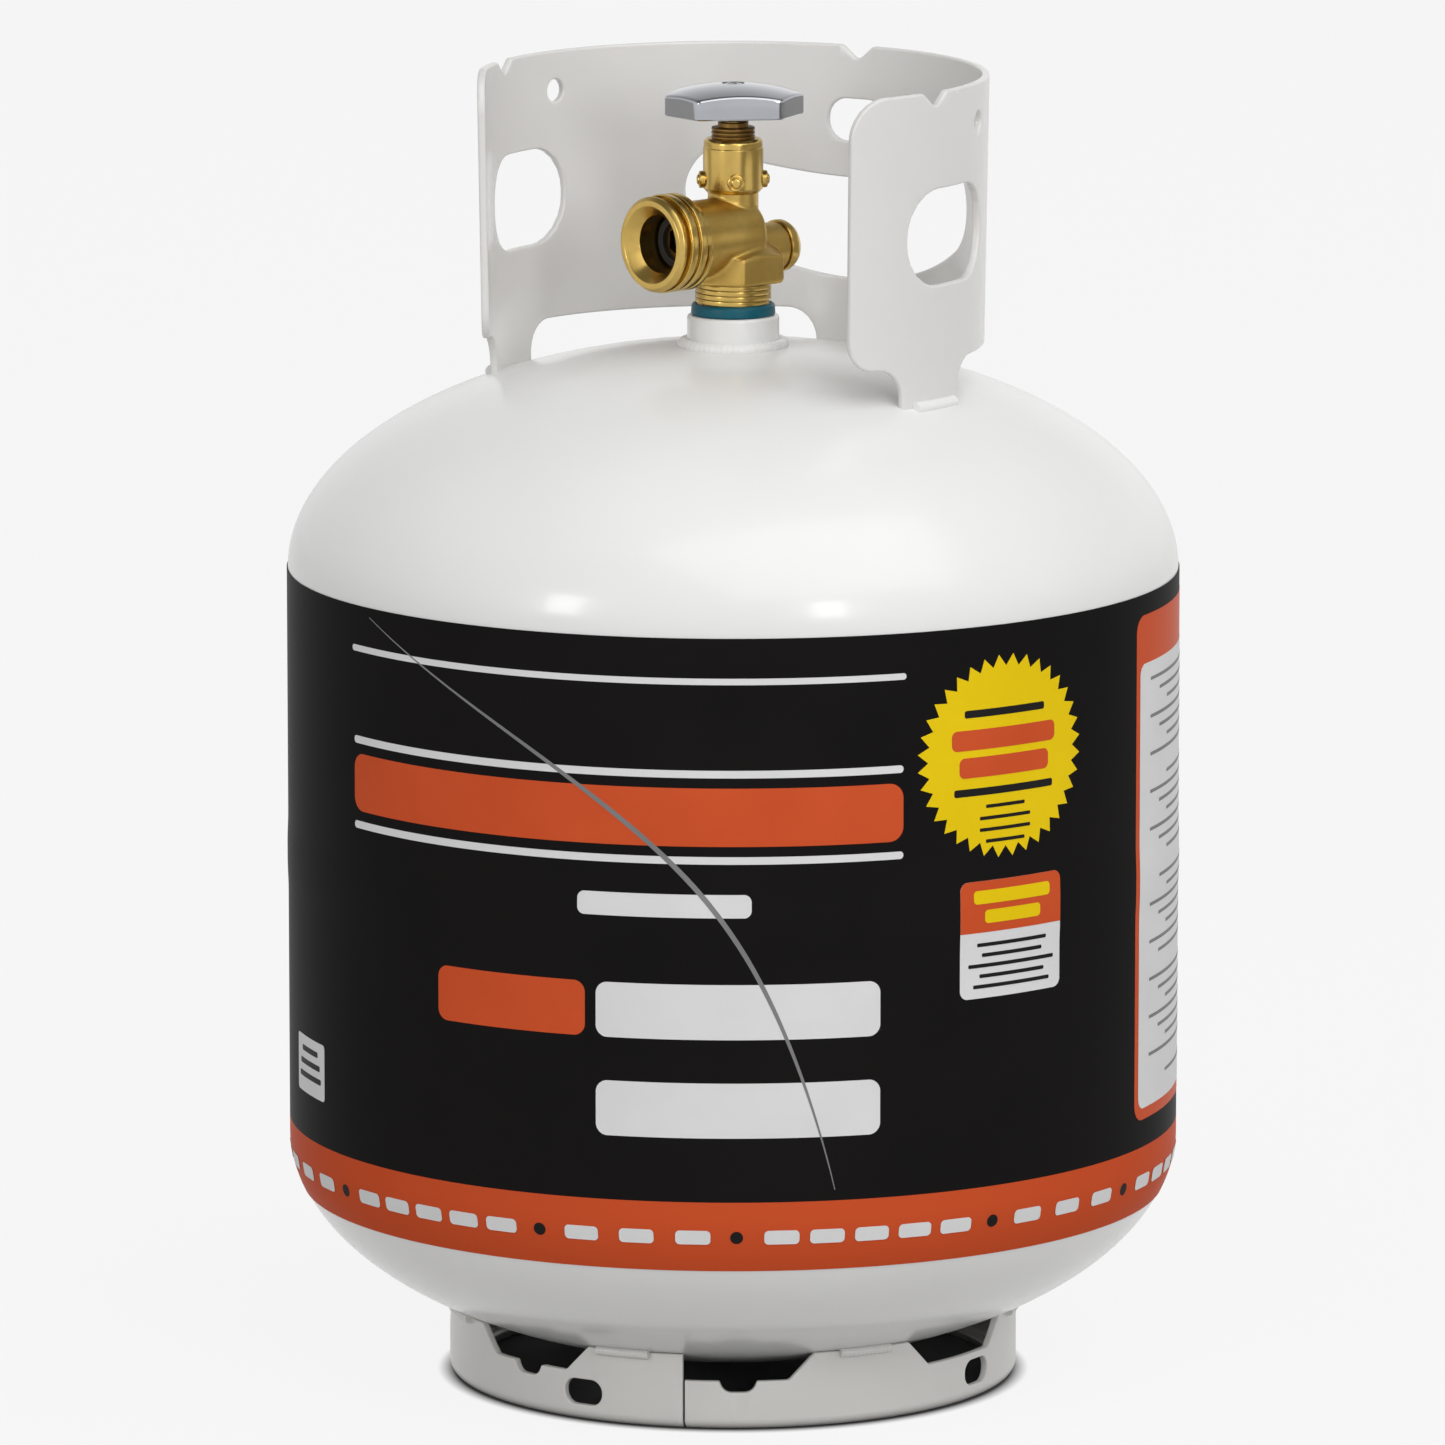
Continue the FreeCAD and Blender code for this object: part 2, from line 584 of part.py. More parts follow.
def neck_weld():
    inner, outer = BOSS_R + SEAT, BOSS_R + NECK_WELD
    bead = turned([
        (inner, head_z(inner) - 1.0), (outer, head_z(outer) - 1.0), (outer, head_z(outer) + 0.3),
        (inner + 0.9, head_z(inner) + 1.3, 2.0), (inner, head_z(inner) + NECK_WELD),
    ])
    return bead.cut(vessel_envelope(SEAT))


# ---- foot ring -----------------------------------------------------------------------
def window_bearings():
    return [WINDOW_FIRST + WINDOW_PITCH * i for i in range(WINDOW_COUNT)]


def ring_window(bearing, left_edge=None):
    """Open-topped opening with sloping sides; a butt seam can stand in for the left side."""
    def side(half_angle):
        return RING_R * math.sin(math.radians(half_angle))

    top = RING_TOP_Z + 1.0
    slope = (side(WINDOW_HALF_TOP) - side(WINDOW_HALF_FLOOR)) / (RING_TOP_Z - WINDOW_FLOOR_Z)
    reach = side(WINDOW_HALF_TOP) + slope * 1.0
    floor = side(WINDOW_HALF_FLOOR)
    left_top, left_floor = -reach, -floor
    if left_edge is not None:
        left_top = left_floor = side(left_edge - bearing)
    corners = [(left_floor, WINDOW_FLOOR_Z, 1.2), (floor, WINDOW_FLOOR_Z, 3.0),
               (reach, top, 0), (left_top, top, 0)]
    return radial_prism(corners, bearing, RING_R * 0.6, RING_R + 5.0)


def foot_ring():
    inside = RING_R - RING_WALL
    ring = turned([
        (RING_R, 0.0, RING_CURL_R), (RING_R, RING_TOP_Z), (inside, RING_TOP_Z),
        (inside, RING_WALL, RING_CURL_R - RING_WALL), (RING_R - RING_CURL_IN, RING_WALL),
        (RING_R - RING_CURL_IN, 0.0),
    ])
    ring = ring.cut(vessel_envelope(SEAT))
    cutters = []
    for i, bearing in enumerate(window_bearings()):
        cutters.append(ring_window(bearing, RING_SLIT_AT if i == 0 else None))
    for bearing in (window_bearings()[0], window_bearings()[-1]):
        half = DRAIN_WIDTH / 2.0
        low = WINDOW_FLOOR_Z - DRAIN_DEPTH
        corners = [(-half, WINDOW_FLOOR_Z + 1.0, 0), (-half * 0.55, low, 3.5),
                   (half * 0.55, low, 3.5), (half, WINDOW_FLOOR_Z + 1.0, 0)]
        cutters.append(radial_prism(corners, bearing, RING_R * 0.6, RING_R + 5.0))
    for bearing in SLOT_BEARINGS:
        corners = rounded_window(SLOT_LENGTH, SLOT_HEIGHT, SLOT_Z, SLOT_HEIGHT * 0.47)
        cutters.append(radial_prism(corners, bearing, RING_R * 0.6, RING_R + 5.0))
    half = RING_SLIT / 2.0
    slit = [(-half, -1.0, 0), (half, -1.0, 0), (half, RING_TOP_Z + 1.0, 0), (-half, RING_TOP_Z + 1.0, 0)]
    cutters.append(radial_prism(slit, RING_SLIT_AT, RING_R * 0.6, RING_R + 5.0))
    return ring.cut(Part.makeCompound(cutters))


def foot_ring_welds():
    """Short beads that join the top of the ring to the lower head, one between two windows."""
    leg = FOOT_WELD_LEG
    face = RING_R + SEAT
    corners = [(face, RING_TOP_Z - leg * 0.8), (face + leg * 0.7, RING_TOP_Z - leg * 0.4, 1.0),
               (face + leg, head_z(face + leg, 0, -1) - 0.2),
               (face + leg, head_z(face + leg, 0, -1) + 0.5), (face, head_z(face, 0, -1) + 0.5)]
    envelope = vessel_envelope(SEAT)
    beads = []
    for bearing in window_bearings():
        between = bearing + WINDOW_PITCH / 2.0
        if bearing == window_bearings()[-1]:
            between = (bearing + WINDOW_FIRST + 360.0) / 2.0
        beads.append(sector(corners, between, FOOT_WELD_SPAN).cut(envelope))
    return Part.makeCompound([s for bead in beads for s in bead.Solids])


# ---- collar --------------------------------------------------------------------------
def collar_strip(low, high, middle, span):
    return sector([(collar_r(low), low), (collar_r(high), high),
                   (collar_r(high) - COLLAR_WALL, high), (collar_r(low) - COLLAR_WALL, low)],
                  middle, span)


def round_radial_edges(shape, picks):
    """Fillet the edges that cross the wall, each pick being (bearing, z, radius)."""
    for bearing, z, radius in picks:
        a = math.radians(bearing - 90.0)
        r = collar_r(z) - COLLAR_WALL / 2.0
        spot = Vector(r * math.cos(a), r * math.sin(a), z)
        edge = min(shape.Edges, key=lambda e: e.CenterOfMass.distanceToPoint(spot))
        shape = shape.makeFillet(radius, [edge])
    return shape


def smile_opening():
    """Curved hand opening in the back of the collar, cut straight through along its middle."""
    depth = COLLAR_TOP_R * 0.5
    far = COLLAR_TOP_R + GRIP_LIP + 10.0

    def at(side, z):
        return Vector(depth, side, z)

    top, out, low = SMILE_TOP_END, SMILE_OUTER_END, SMILE_LOW_END
    edges = [
        Part.Arc(at(-top[0], top[1]), at(0, SMILE_TOP_MID_Z), at(*top)).toShape(),
        Part.Arc(at(*top), at(*out), at(*low)).toShape(),
        Part.Arc(at(*low), at(0, SMILE_LOW_MID_Z), at(-low[0], low[1])).toShape(),
        Part.Arc(at(-low[0], low[1]), at(-out[0], out[1]), at(-top[0], top[1])).toShape(),
    ]
    prism = Part.Face(Part.Wire(edges)).extrude(Vector(far - depth, 0, 0))
    return at_bearing(prism, COLLAR_MIDDLE)


def hand_lip():
    """Edge of the sheet above the opening, rolled outwards to carry the cylinder by."""
    top = SMILE_TOP_END
    depth = COLLAR_TOP_R * 0.5
    far = COLLAR_TOP_R + GRIP_LIP + 10.0

    def at(side, z):
        return Vector(depth, side, z)

    over = SMILE_TOP_MID_Z + COLLAR_WALL
    edges = [
        Part.Arc(at(-top[0], top[1]), at(0, SMILE_TOP_MID_Z), at(*top)).toShape(),
        Part.LineSegment(at(*top), at(top[0], top[1] + COLLAR_WALL)).toShape(),
        Part.Arc(at(top[0], top[1] + COLLAR_WALL), at(0, over),
                 at(-top[0], top[1] + COLLAR_WALL)).toShape(),
        Part.LineSegment(at(-top[0], top[1] + COLLAR_WALL), at(-top[0], top[1])).toShape(),
    ]
    band = at_bearing(Part.Face(Part.Wire(edges)).extrude(Vector(far - depth, 0, 0)), COLLAR_MIDDLE)
    low, high = SMILE_TOP_MID_Z - 4.0, SMILE_TOP_END[1] + 8.0
    inner = collar_r(SMILE_TOP_MID_Z) - COLLAR_WALL * 0.6
    ring = sector([(inner, low), (collar_r(low) + GRIP_LIP, low),
                   (collar_r(high) + GRIP_LIP, high), (inner, high)], COLLAR_MIDDLE, 120.0)
    return band.common(ring)


def collar():
    low = head_z(collar_r(COLLAR_LOW_Z)) - 6.0
    shape = collar_strip(low, COLLAR_TOP_Z, COLLAR_MIDDLE, 2.0 * COLLAR_HALF_SPAN)
    foot_half = math.degrees(FOOT_WIDTH / 2.0 / collar_r(COLLAR_LOW_Z))
    wide = 12.0
    gaps = []
    edges_of_feet = [-COLLAR_HALF_SPAN - wide]
    for offset in FOOT_OFFSETS:
        edges_of_feet += [offset - foot_half, offset + foot_half]
    edges_of_feet.append(COLLAR_HALF_SPAN + wide)
    for left, right in zip(edges_of_feet[0::2], edges_of_feet[1::2]):
        r = collar_r(COLLAR_LOW_Z)
        gap = sector([(r - wide, low - 2.0), (r + wide, low - 2.0), (r + wide, COLLAR_LOW_Z),
                      (r - wide, COLLAR_LOW_Z)], COLLAR_MIDDLE + (left + right) / 2.0, right - left)
        for end in (left, right):
            if abs(end) > COLLAR_HALF_SPAN:
                continue
            a = math.radians(COLLAR_MIDDLE + end - 90.0)
            spot = Vector(r * math.cos(a), r * math.sin(a), COLLAR_LOW_Z)
            edge = min(gap.Edges, key=lambda e: e.CenterOfMass.distanceToPoint(spot))
            gap = gap.makeFillet(FOOT_FILLET, [edge])
        gaps.append(gap)
    shape = shape.cut(Part.makeCompound(gaps))
    picks = []
    for sign in (-1, 1):
        end = COLLAR_MIDDLE + sign * COLLAR_HALF_SPAN
        picks.append((end, COLLAR_TOP_Z, COLLAR_TOP_CORNER))
        picks.append((end, COLLAR_LOW_Z, COLLAR_LOW_CORNER))
    shape = round_radial_edges(shape, picks)
    near, far = COLLAR_TOP_R * 0.6, COLLAR_TOP_R + 20.0
    cutters = [smile_opening()]
    for offset in GRIP_OFFSETS:
        window = rounded_window(GRIP_WIDTH, GRIP_HEIGHT, GRIP_Z, GRIP_CORNER)
        cutters.append(radial_prism(window, COLLAR_MIDDLE + offset, near, far))
    for offset in LOCK_HOLE_OFFSETS:
        cutters.append(radial_cylinder(LOCK_HOLE_R, COLLAR_MIDDLE + offset, near, far, LOCK_HOLE_Z))
    for offset in NOTCH_OFFSETS:
        half, dip = NOTCH_WIDTH / 2.0, COLLAR_TOP_Z - NOTCH_DEPTH
        notch = [(-half, COLLAR_TOP_Z + 1.0, 0), (0.0, dip - 1.2, 3.0), (half, COLLAR_TOP_Z + 1.0, 0)]
        cutters.append(radial_prism(notch, COLLAR_MIDDLE + offset, near, far))
    window = rounded_window(HANG_HOLE_WIDTH, HANG_HOLE_HEIGHT, HANG_HOLE_Z, HANG_HOLE_HEIGHT * 0.47)
    cutters.append(radial_prism(window, COLLAR_MIDDLE, near, far))
    shape = shape.cut(Part.makeCompound(cutters))
    return shape.fuse(hand_lip()).cut(vessel_envelope(SEAT)).removeSplitter()


def collar_welds():
    """Fillet bead across the foot of each leg of the collar, outside."""
    foot_r = collar_r(head_z(collar_r(COLLAR_LOW_Z))) + 2.0 * SEAT
    leg = COLLAR_WELD_LEG
    corners = [(foot_r, head_z(foot_r) - 1.0), (foot_r + leg, head_z(foot_r + leg) - 1.0),
               (foot_r + leg, head_z(foot_r + leg) + 0.3),
               (foot_r + leg * 0.6, head_z(foot_r) + leg * 0.45, 2.0),
               (foot_r, head_z(foot_r) + leg)]
    envelope = vessel_envelope(SEAT)
    beads = [sector(corners, COLLAR_MIDDLE + offset, COLLAR_WELD_SPAN).cut(envelope)
             for offset in FOOT_OFFSETS]
    return Part.makeCompound([s for bead in beads for s in bead.Solids])


# ---- valve ---------------------------------------------------------------------------
def inlet_shank():
    """Tapered inlet with thread crests drawn as rings where it stands out of the boss."""
    def radius(z):
        return INLET_R - INLET_TAPER * (BOSS_TOP_Z - z) / (HEX_LOW_Z - SHANK_BOTTOM_Z)

    corners = [(0.0, SHANK_BOTTOM_Z), (radius(SHANK_BOTTOM_Z), SHANK_BOTTOM_Z, 0.8),
               (INLET_R, BOSS_TOP_Z), (INLET_R, SEALANT_TOP_Z)]
    z = SEALANT_TOP_Z
    while z + THREAD_PITCH <= HEX_LOW_Z:
        corners.append((INLET_R - THREAD_DEPTH, z + THREAD_PITCH * 0.5))
        corners.append((INLET_R, z + THREAD_PITCH))
        z += THREAD_PITCH
    corners += [(INLET_R - THREAD_DEPTH, z), (INLET_R - THREAD_DEPTH, HEX_LOW_Z + 1.0),
                (0.0, HEX_LOW_Z + 1.0)]
    return turned(corners)


def outlet_barrel():
    """Outlet stub with its coarse male thread drawn as rings, mouth coned."""
    corners = [(0.0, 0.0), (0.0, BARREL_R), (ACME_START, BARREL_R)]
    u = ACME_START
    flat = ACME_PITCH * 0.37
    while u + ACME_PITCH <= ACME_END + 0.2:
        corners += [(u + 0.5, ACME_R), (u + 0.5 + flat, ACME_R),
                    (u + ACME_PITCH * 0.62, ACME_ROOT_R), (u + ACME_PITCH, ACME_ROOT_R)]
        u += ACME_PITCH
    corners += [(NOSE_END - 2.6, ACME_ROOT_R), (NOSE_END - 1.6, ACME_R - 0.6), (NOSE_END, ACME_R - 1.6),
                (NOSE_END, 0.0)]
    return along_port(corners, OUTLET_AT, OUTLET_Z)


def valve_body():
    base = at_bearing(hexagon(HEX_FLATS, HEX_LOW_Z, SHOULDER_TOP_Z), OUTLET_AT)
    corner = HEX_FLATS / math.sqrt(3.0)
    base = base.common(turned([
        (0.0, HEX_LOW_Z), (corner - 0.9, HEX_LOW_Z), (corner + 0.1, HEX_LOW_Z + 0.9),
        (corner + 0.1, HEX_TOP_Z), (COLUMN_R + 0.6, SHOULDER_TOP_Z, 2.0), (0.0, SHOULDER_TOP_Z)]))
    column = turned([
        (0.0, HEX_LOW_Z), (COLUMN_R, HEX_LOW_Z), (COLUMN_R, COLUMN_TOP_Z), (SPIGOT_R, COLUMN_TOP_Z),
        (SPIGOT_R, SPIGOT_TOP_Z), (0.0, SPIGOT_TOP_Z)])
    relief = along_port([(0.0, 0.0), (0.0, RELIEF_R), (RELIEF_END, RELIEF_R), (RELIEF_END, 0.0)],
                        RELIEF_AT, RELIEF_Z)
    throat = along_port([(0.0, 0.0), (0.0, BARREL_R), (BARREL_START, BARREL_R, 0.0),
                         (BARREL_START, 0.0)], OUTLET_AT, OUTLET_Z)
    vent_boss = radial_cylinder(VENT_BOSS_R, VENT_AT, 0.0, VENT_BOSS_END, VENT_Z)
    body = column.fuse([base, inlet_shank(), outlet_barrel(), throat, relief, vent_boss])
    stop_spigot = Part.makeCylinder(STOP_R + SEAT, STOP_SPIGOT,
                                    Vector(STOP_OFFSET, 0, SHANK_BOTTOM_Z))
    bores = [
        Part.makeCylinder(CHAMBER_R, SPIGOT_TOP_Z - SEAT_Z + 1.0, Vector(0, 0, SEAT_Z)),
        Part.makeCylinder(ORIFICE_R, 10.0, Vector(0, 0, SEAT_Z - 5.0)),
        Part.makeCylinder(INLET_BORE_R, SEAT_Z - 3.0 - SHANK_BOTTOM_Z + 1.0,
                          Vector(0, 0, SHANK_BOTTOM_Z - 1.0)),
        at_bearing(stop_spigot, STOP_AT),
        along_port([(CHECK_FLOOR, 0.0), (CHECK_FLOOR, CHECK_BORE_R), (SOCKET_FLOOR, CHECK_BORE_R),
                    (SOCKET_FLOOR, OUTLET_BORE_R), (NOSE_END - MOUTH_DEPTH, OUTLET_BORE_R),
                    (NOSE_END, MOUTH_R), (NOSE_END + 1.0, MOUTH_R), (NOSE_END + 1.0, 0.0)],
                   OUTLET_AT, OUTLET_Z),
        radial_cylinder(PASSAGE_R, OUTLET_AT, 0.0, CHECK_FLOOR + 1.0, OUTLET_Z),
        radial_cylinder(RELIEF_BORE_R, RELIEF_AT, RELIEF_FLOOR, RELIEF_END + 1.0, RELIEF_Z),
        radial_cylinder(RELIEF_ORIFICE_R, RELIEF_AT, RELIEF_FLOOR - 4.0, RELIEF_FLOOR + 1.0,
                        RELIEF_Z),
        radial_cylinder(1.8, RELIEF_AT, 0.0, RELIEF_FLOOR - 1.5, SEAT_Z - 6.5),
        at_bearing(Part.makeCylinder(1.8, 6.5, Vector(RELIEF_FLOOR - 2.5, 0, SEAT_Z - 6.5)),
                   RELIEF_AT),
        radial_cylinder(VENT_STEM_R + FIT, VENT_AT, VENT_STEM_START - 0.5, VENT_BOSS_END + 1.0,
                        VENT_Z),
        radial_cylinder(DIP_BORE_R, VENT_AT, DIP_AT - DIP_BORE_R, VENT_STEM_START, VENT_Z),
        at_bearing(Part.makeCylinder(DIP_BORE_R, VENT_Z - SHANK_BOTTOM_Z + 1.0,
                                     Vector(DIP_AT, 0, SHANK_BOTTOM_Z - 1.0)), VENT_AT),
        at_bearing(Part.makeCylinder(DIP_R + SEAT, 9.0, Vector(DIP_AT, 0, SHANK_BOTTOM_Z - 1.0)),
                   VENT_AT),
    ]
    for bore in bores:
        body = body.cut(bore)
    return body.removeSplitter()


def thread_sealant():
    inner = INLET_R + SEAT
    return turned([(inner, BOSS_TOP_Z), (SEALANT_R, BOSS_TOP_Z, 0.8),
                   (SEALANT_R - 0.4, SEALANT_TOP_Z, 1.2), (inner, SEALANT_TOP_Z, 0)])


def bonnet():
    shoulder = STEM_FLANGE_Z + STEM_FLANGE_H + RUN
    shape = turned([
        (BONNET_SKIRT_R, COLUMN_TOP_Z), (BONNET_R - 1.5, COLUMN_TOP_Z),
        (BONNET_R, COLUMN_TOP_Z + 1.5, 1.0), (BONNET_R, BONNET_TOP_Z, BONNET_ROUND),
        (GLAND_SPIGOT_R + SEAT, BONNET_TOP_Z),
        (GLAND_SPIGOT_R + SEAT, BONNET_TOP_Z - GLAND_SPIGOT - SEAT),
        (STEM_BORE_R, BONNET_TOP_Z - GLAND_SPIGOT - SEAT), (STEM_BORE_R, shoulder),
        (BONNET_SKIRT_R, shoulder)])
    pins = []
    for bearing in PIN_BEARINGS:
        pins.append(along_port([(BONNET_SKIRT_R + 0.5, 0.0), (BONNET_SKIRT_R + 0.5, PIN_R),
                                (BONNET_R + PIN_PROUD, PIN_R, 1.2), (BONNET_R + PIN_PROUD, 0.0)],
                               bearing, PIN_Z))
    return shape.fuse(pins).removeSplitter()


def gland_nut():
    bore = STEM_BORE_R
    return turned([
        (bore, BONNET_TOP_Z - GLAND_SPIGOT), (GLAND_SPIGOT_R, BONNET_TOP_Z - GLAND_SPIGOT),
        (GLAND_SPIGOT_R, BONNET_TOP_Z), (GLAND_R, BONNET_TOP_Z), (GLAND_R, BONNET_TOP_Z + 0.8),
        (GLAND_R - 0.7, BONNET_TOP_Z + 1.2), (GLAND_R, BONNET_TOP_Z + 1.6),
        (GLAND_R, BONNET_TOP_Z + 2.3), (GLAND_R - 0.7, BONNET_TOP_Z + 2.7),
        (GLAND_R, BONNET_TOP_Z + 3.1), (GLAND_R, GLAND_TOP_Z, 0.4), (GLAND_NOSE_R, GLAND_TOP_Z),
        (GLAND_NOSE_R, GLAND_NOSE_Z, 0.5), (bore, GLAND_NOSE_Z)])


def stem():
    groove = STEM_R - 2.0 * ORING_R
    corners = [(0.0, STEM_FLANGE_Z), (STEM_FLANGE_R, STEM_FLANGE_Z),
               (STEM_FLANGE_R, STEM_FLANGE_Z + STEM_FLANGE_H), (STEM_R, STEM_FLANGE_Z + STEM_FLANGE_H)]
    for z in ORING_ZS:
        half = ORING_R + SEAT
        corners += [(STEM_R, z - half), (groove - SEAT, z - half), (groove - SEAT, z + half),
                    (STEM_R, z + half)]
    corners += [(STEM_R, HUB_LOW_Z - SEAT), (0.0, HUB_LOW_Z - SEAT)]
    shape = turned(corners)
    side = STEM_SQUARE
    square = Part.makeBox(side, side, STEM_TOP_Z - HUB_LOW_Z + 1.0,
                          Vector(-side / 2.0, -side / 2.0, HUB_LOW_Z - 1.0))
    square = square.common(Part.makeCylinder(STEM_R - SEAT, 40.0, Vector(0, 0, HUB_LOW_Z - 10.0)))
    tang = Part.makeBox(TANG_WIDTH, TANG_THICK, STEM_FLANGE_Z - TANG_LOW_Z + 1.0,
                        Vector(-TANG_WIDTH / 2.0, -TANG_THICK / 2.0, TANG_LOW_Z))
    tap = Part.makeCylinder(SCREW_SHANK_R + SEAT, SCREW_LENGTH + 2.0,
                            Vector(0, 0, STEM_TOP_Z - SCREW_LENGTH))
    shape = shape.fuse([square, tang]).removeSplitter().cut(tap)
    return at_bearing(shape, WHEEL_FACING)


def stem_o_rings():
    rings = [Part.makeTorus(STEM_R - ORING_R, ORING_R - SEAT, Vector(0, 0, z)) for z in ORING_ZS]
    return Part.makeCompound(rings)


def seat_plug():
    """Threaded plug that the stem's tang turns, so that it climbs off the seat."""
    stalk = 3.0
    lip = DISC_R + 0.9
    disc_top = SEAT_Z + DISC_THICK
    shape = turned([
        (0.0, disc_top), (DISC_R + SEAT, disc_top), (DISC_R + SEAT, disc_top - 1.2),
        (lip, disc_top - 1.2), (lip, disc_top + 1.6), (stalk, disc_top + 3.0),
        (stalk, PLUG_LOW_Z), (PLUG_R, PLUG_LOW_Z, 0.4), (PLUG_R, PLUG_TOP_Z, 0.4),
        (0.0, PLUG_TOP_Z)])
    width = TANG_WIDTH + 0.6
    thick = TANG_THICK + 2.0 * FIT
    slot = Part.makeBox(width, thick, PLUG_TOP_Z, Vector(-width / 2.0, -thick / 2.0,
                                                         TANG_LOW_Z - PLUG_LIFT - RUN))
    return shape.cut(at_bearing(slot, WHEEL_FACING))


def seat_disc():
    return turned([(0.0, SEAT_Z + RUN), (DISC_R, SEAT_Z + RUN, 0.4), (DISC_R, SEAT_Z + DISC_THICK),
                   (0.0, SEAT_Z + DISC_THICK)])


# ---- handwheel -----------------------------------------------------------------------
def wheel_prism(shrink, low, high, corner):
    """Six-sided prism with long and short sides in turn, its first long side on +X."""
    flat = WHEEL_FLAT - shrink
    reach = WHEEL_CORNER - shrink * 1.15
    half = math.degrees(math.acos(flat / reach))
    points = []
    for facing in (0.0, 120.0, 240.0):
        for angle in (facing - half, facing + half):
            a = math.radians(angle)
            points.append((Vector(reach * math.cos(a), reach * math.sin(a), low), corner))
    return Part.Face(outline(points)).extrude(Vector(0, 0, high - low))


def handwheel():
    top_centre = Vector(0, 0, WHEEL_TOP_Z - WHEEL_DOME_R)
    dome = Part.makeSphere(WHEEL_DOME_R, top_centre)
    shape = wheel_prism(0.0, WHEEL_LOW_Z, WHEEL_TOP_Z + 1.0, WHEEL_EDGE).common(dome)
    inner_dome = Part.makeSphere(WHEEL_DOME_R - WHEEL_WALL, top_centre)
    hollow = wheel_prism(WHEEL_WALL, WHEEL_LOW_Z - 1.0, WHEEL_TOP_Z, WHEEL_EDGE).common(inner_dome)
    shape = shape.cut(hollow)
    hub = Part.makeCylinder(HUB_R, WHEEL_TOP_Z - WHEEL_WALL / 2.0 - HUB_LOW_Z,
                            Vector(0, 0, HUB_LOW_Z))
    ribs = []
    for facing in range(0, 360, 60):
        rib = Part.makeBox(WHEEL_FLAT - WHEEL_WALL / 2.0 - HUB_R + 1.0, 1.8,
                           WHEEL_TOP_Z - 3.0 - WHEEL_LOW_Z - 1.0,
                           Vector(HUB_R - 1.0, -0.9, WHEEL_LOW_Z + 1.0))
        rib.rotate(CENTRE, Z_AXIS, facing)
        ribs.append(rib)
    web = Part.makeCompound(ribs).common(wheel_prism(WHEEL_WALL / 2.0, WHEEL_LOW_Z, WHEEL_TOP_Z,
                                                     WHEEL_EDGE))
    shape = shape.fuse([hub] + web.Solids)
    side = STEM_SQUARE + 2.0 * SEAT
    square = Part.makeBox(side, side, STEM_TOP_Z + SEAT - HUB_LOW_Z + 1.0,
                          Vector(-side / 2.0, -side / 2.0, HUB_LOW_Z - 1.0))
    head_low = WHEEL_TOP_Z - SCREW_HEAD
    recess = Part.makeCylinder(SCREW_R + 0.4, SCREW_HEAD + 2.0, Vector(0, 0, head_low))
    clear = Part.makeCylinder(SCREW_SHANK_R + 0.3, 20.0, Vector(0, 0, STEM_TOP_Z - 2.0))
    shape = shape.cut(square).cut(recess).cut(clear).removeSplitter()
    return at_bearing(shape, WHEEL_FACING)


def handwheel_screw():
    low = WHEEL_TOP_Z - SCREW_HEAD
    shape = turned([
        (0.0, STEM_TOP_Z - SCREW_LENGTH + 0.5), (SCREW_SHANK_R, STEM_TOP_Z - SCREW_LENGTH + 0.5),
        (SCREW_SHANK_R, low), (SCREW_R, low), (SCREW_R, low + SCREW_HEAD * 0.75, 0.5),
        (SCREW_R * 0.45, low + SCREW_HEAD), (0.0, low + SCREW_HEAD)])
    cross = []
    for turn in (0.0, 90.0):
        blade = Part.makeBox(3.6, 0.8, 2.0, Vector(-1.8, -0.4, low + SCREW_HEAD * 0.4))
        blade.rotate(CENTRE, Z_AXIS, turn)
        cross.append(blade)
    return at_bearing(shape.cut(Part.makeCompound(cross)), WHEEL_FACING + 20.0)


# ---- outlet check and relief valve ---------------------------------------------------
def check_retainer():
    """Sleeve pressed into the outlet, with a hexagonal key opening in its front wall."""
    outer = CHECK_BORE_R - SEAT
    bore = SLEEVE_BORE_R
    shape = along_port([(CHECK_FLOOR, bore), (CHECK_FLOOR, outer), (SLEEVE_END, outer),
                        (SLEEVE_END, 0.0), (SLEEVE_END - SLEEVE_FRONT, 0.0),
                        (SLEEVE_END - SLEEVE_FRONT, bore)], OUTLET_AT, OUTLET_Z)
    key = point_out(hexagon(KEY_FLATS, 0.0, SLEEVE_FRONT + 2.0), OUTLET_AT,
                    SLEEVE_END - SLEEVE_FRONT - 1.0, OUTLET_Z)
    return shape.cut(key)


def outlet_gasket():
    outer = CHECK_BORE_R - SEAT
    return along_port([(SLEEVE_END, GASKET_BORE_R), (SLEEVE_END, outer, 0.3),
                       (SOCKET_FLOOR, outer, 0.5), (SOCKET_FLOOR, GASKET_BORE_R, 0.5)],
                      OUTLET_AT, OUTLET_Z)


def check_poppet():
    tail_end = CHECK_FLOOR + CHECK_TRAVEL + RUN
    return along_port([
        (tail_end, 0.0), (tail_end, CHECK_TAIL_R, 0.3),
        (CHECK_BACK, CHECK_TAIL_R), (CHECK_BACK, CHECK_R), (CHECK_FACE, CHECK_R, 0.4),
        (CHECK_FACE, CHECK_NOSE_R), (CHECK_FACE + CHECK_NOSE, CHECK_NOSE_R, 0.6),
        (CHECK_FACE + CHECK_NOSE, 0.0)], OUTLET_AT, OUTLET_Z)


def check_spring():
    length = CHECK_BACK - CHECK_FLOOR - 2.0 * SEAT
    spring = coil(CHECK_COIL_R, length, CHECK_COIL_TURNS, COIL_WIRE_R)
    return point_out(spring, OUTLET_AT, CHECK_FLOOR + SEAT, OUTLET_Z)


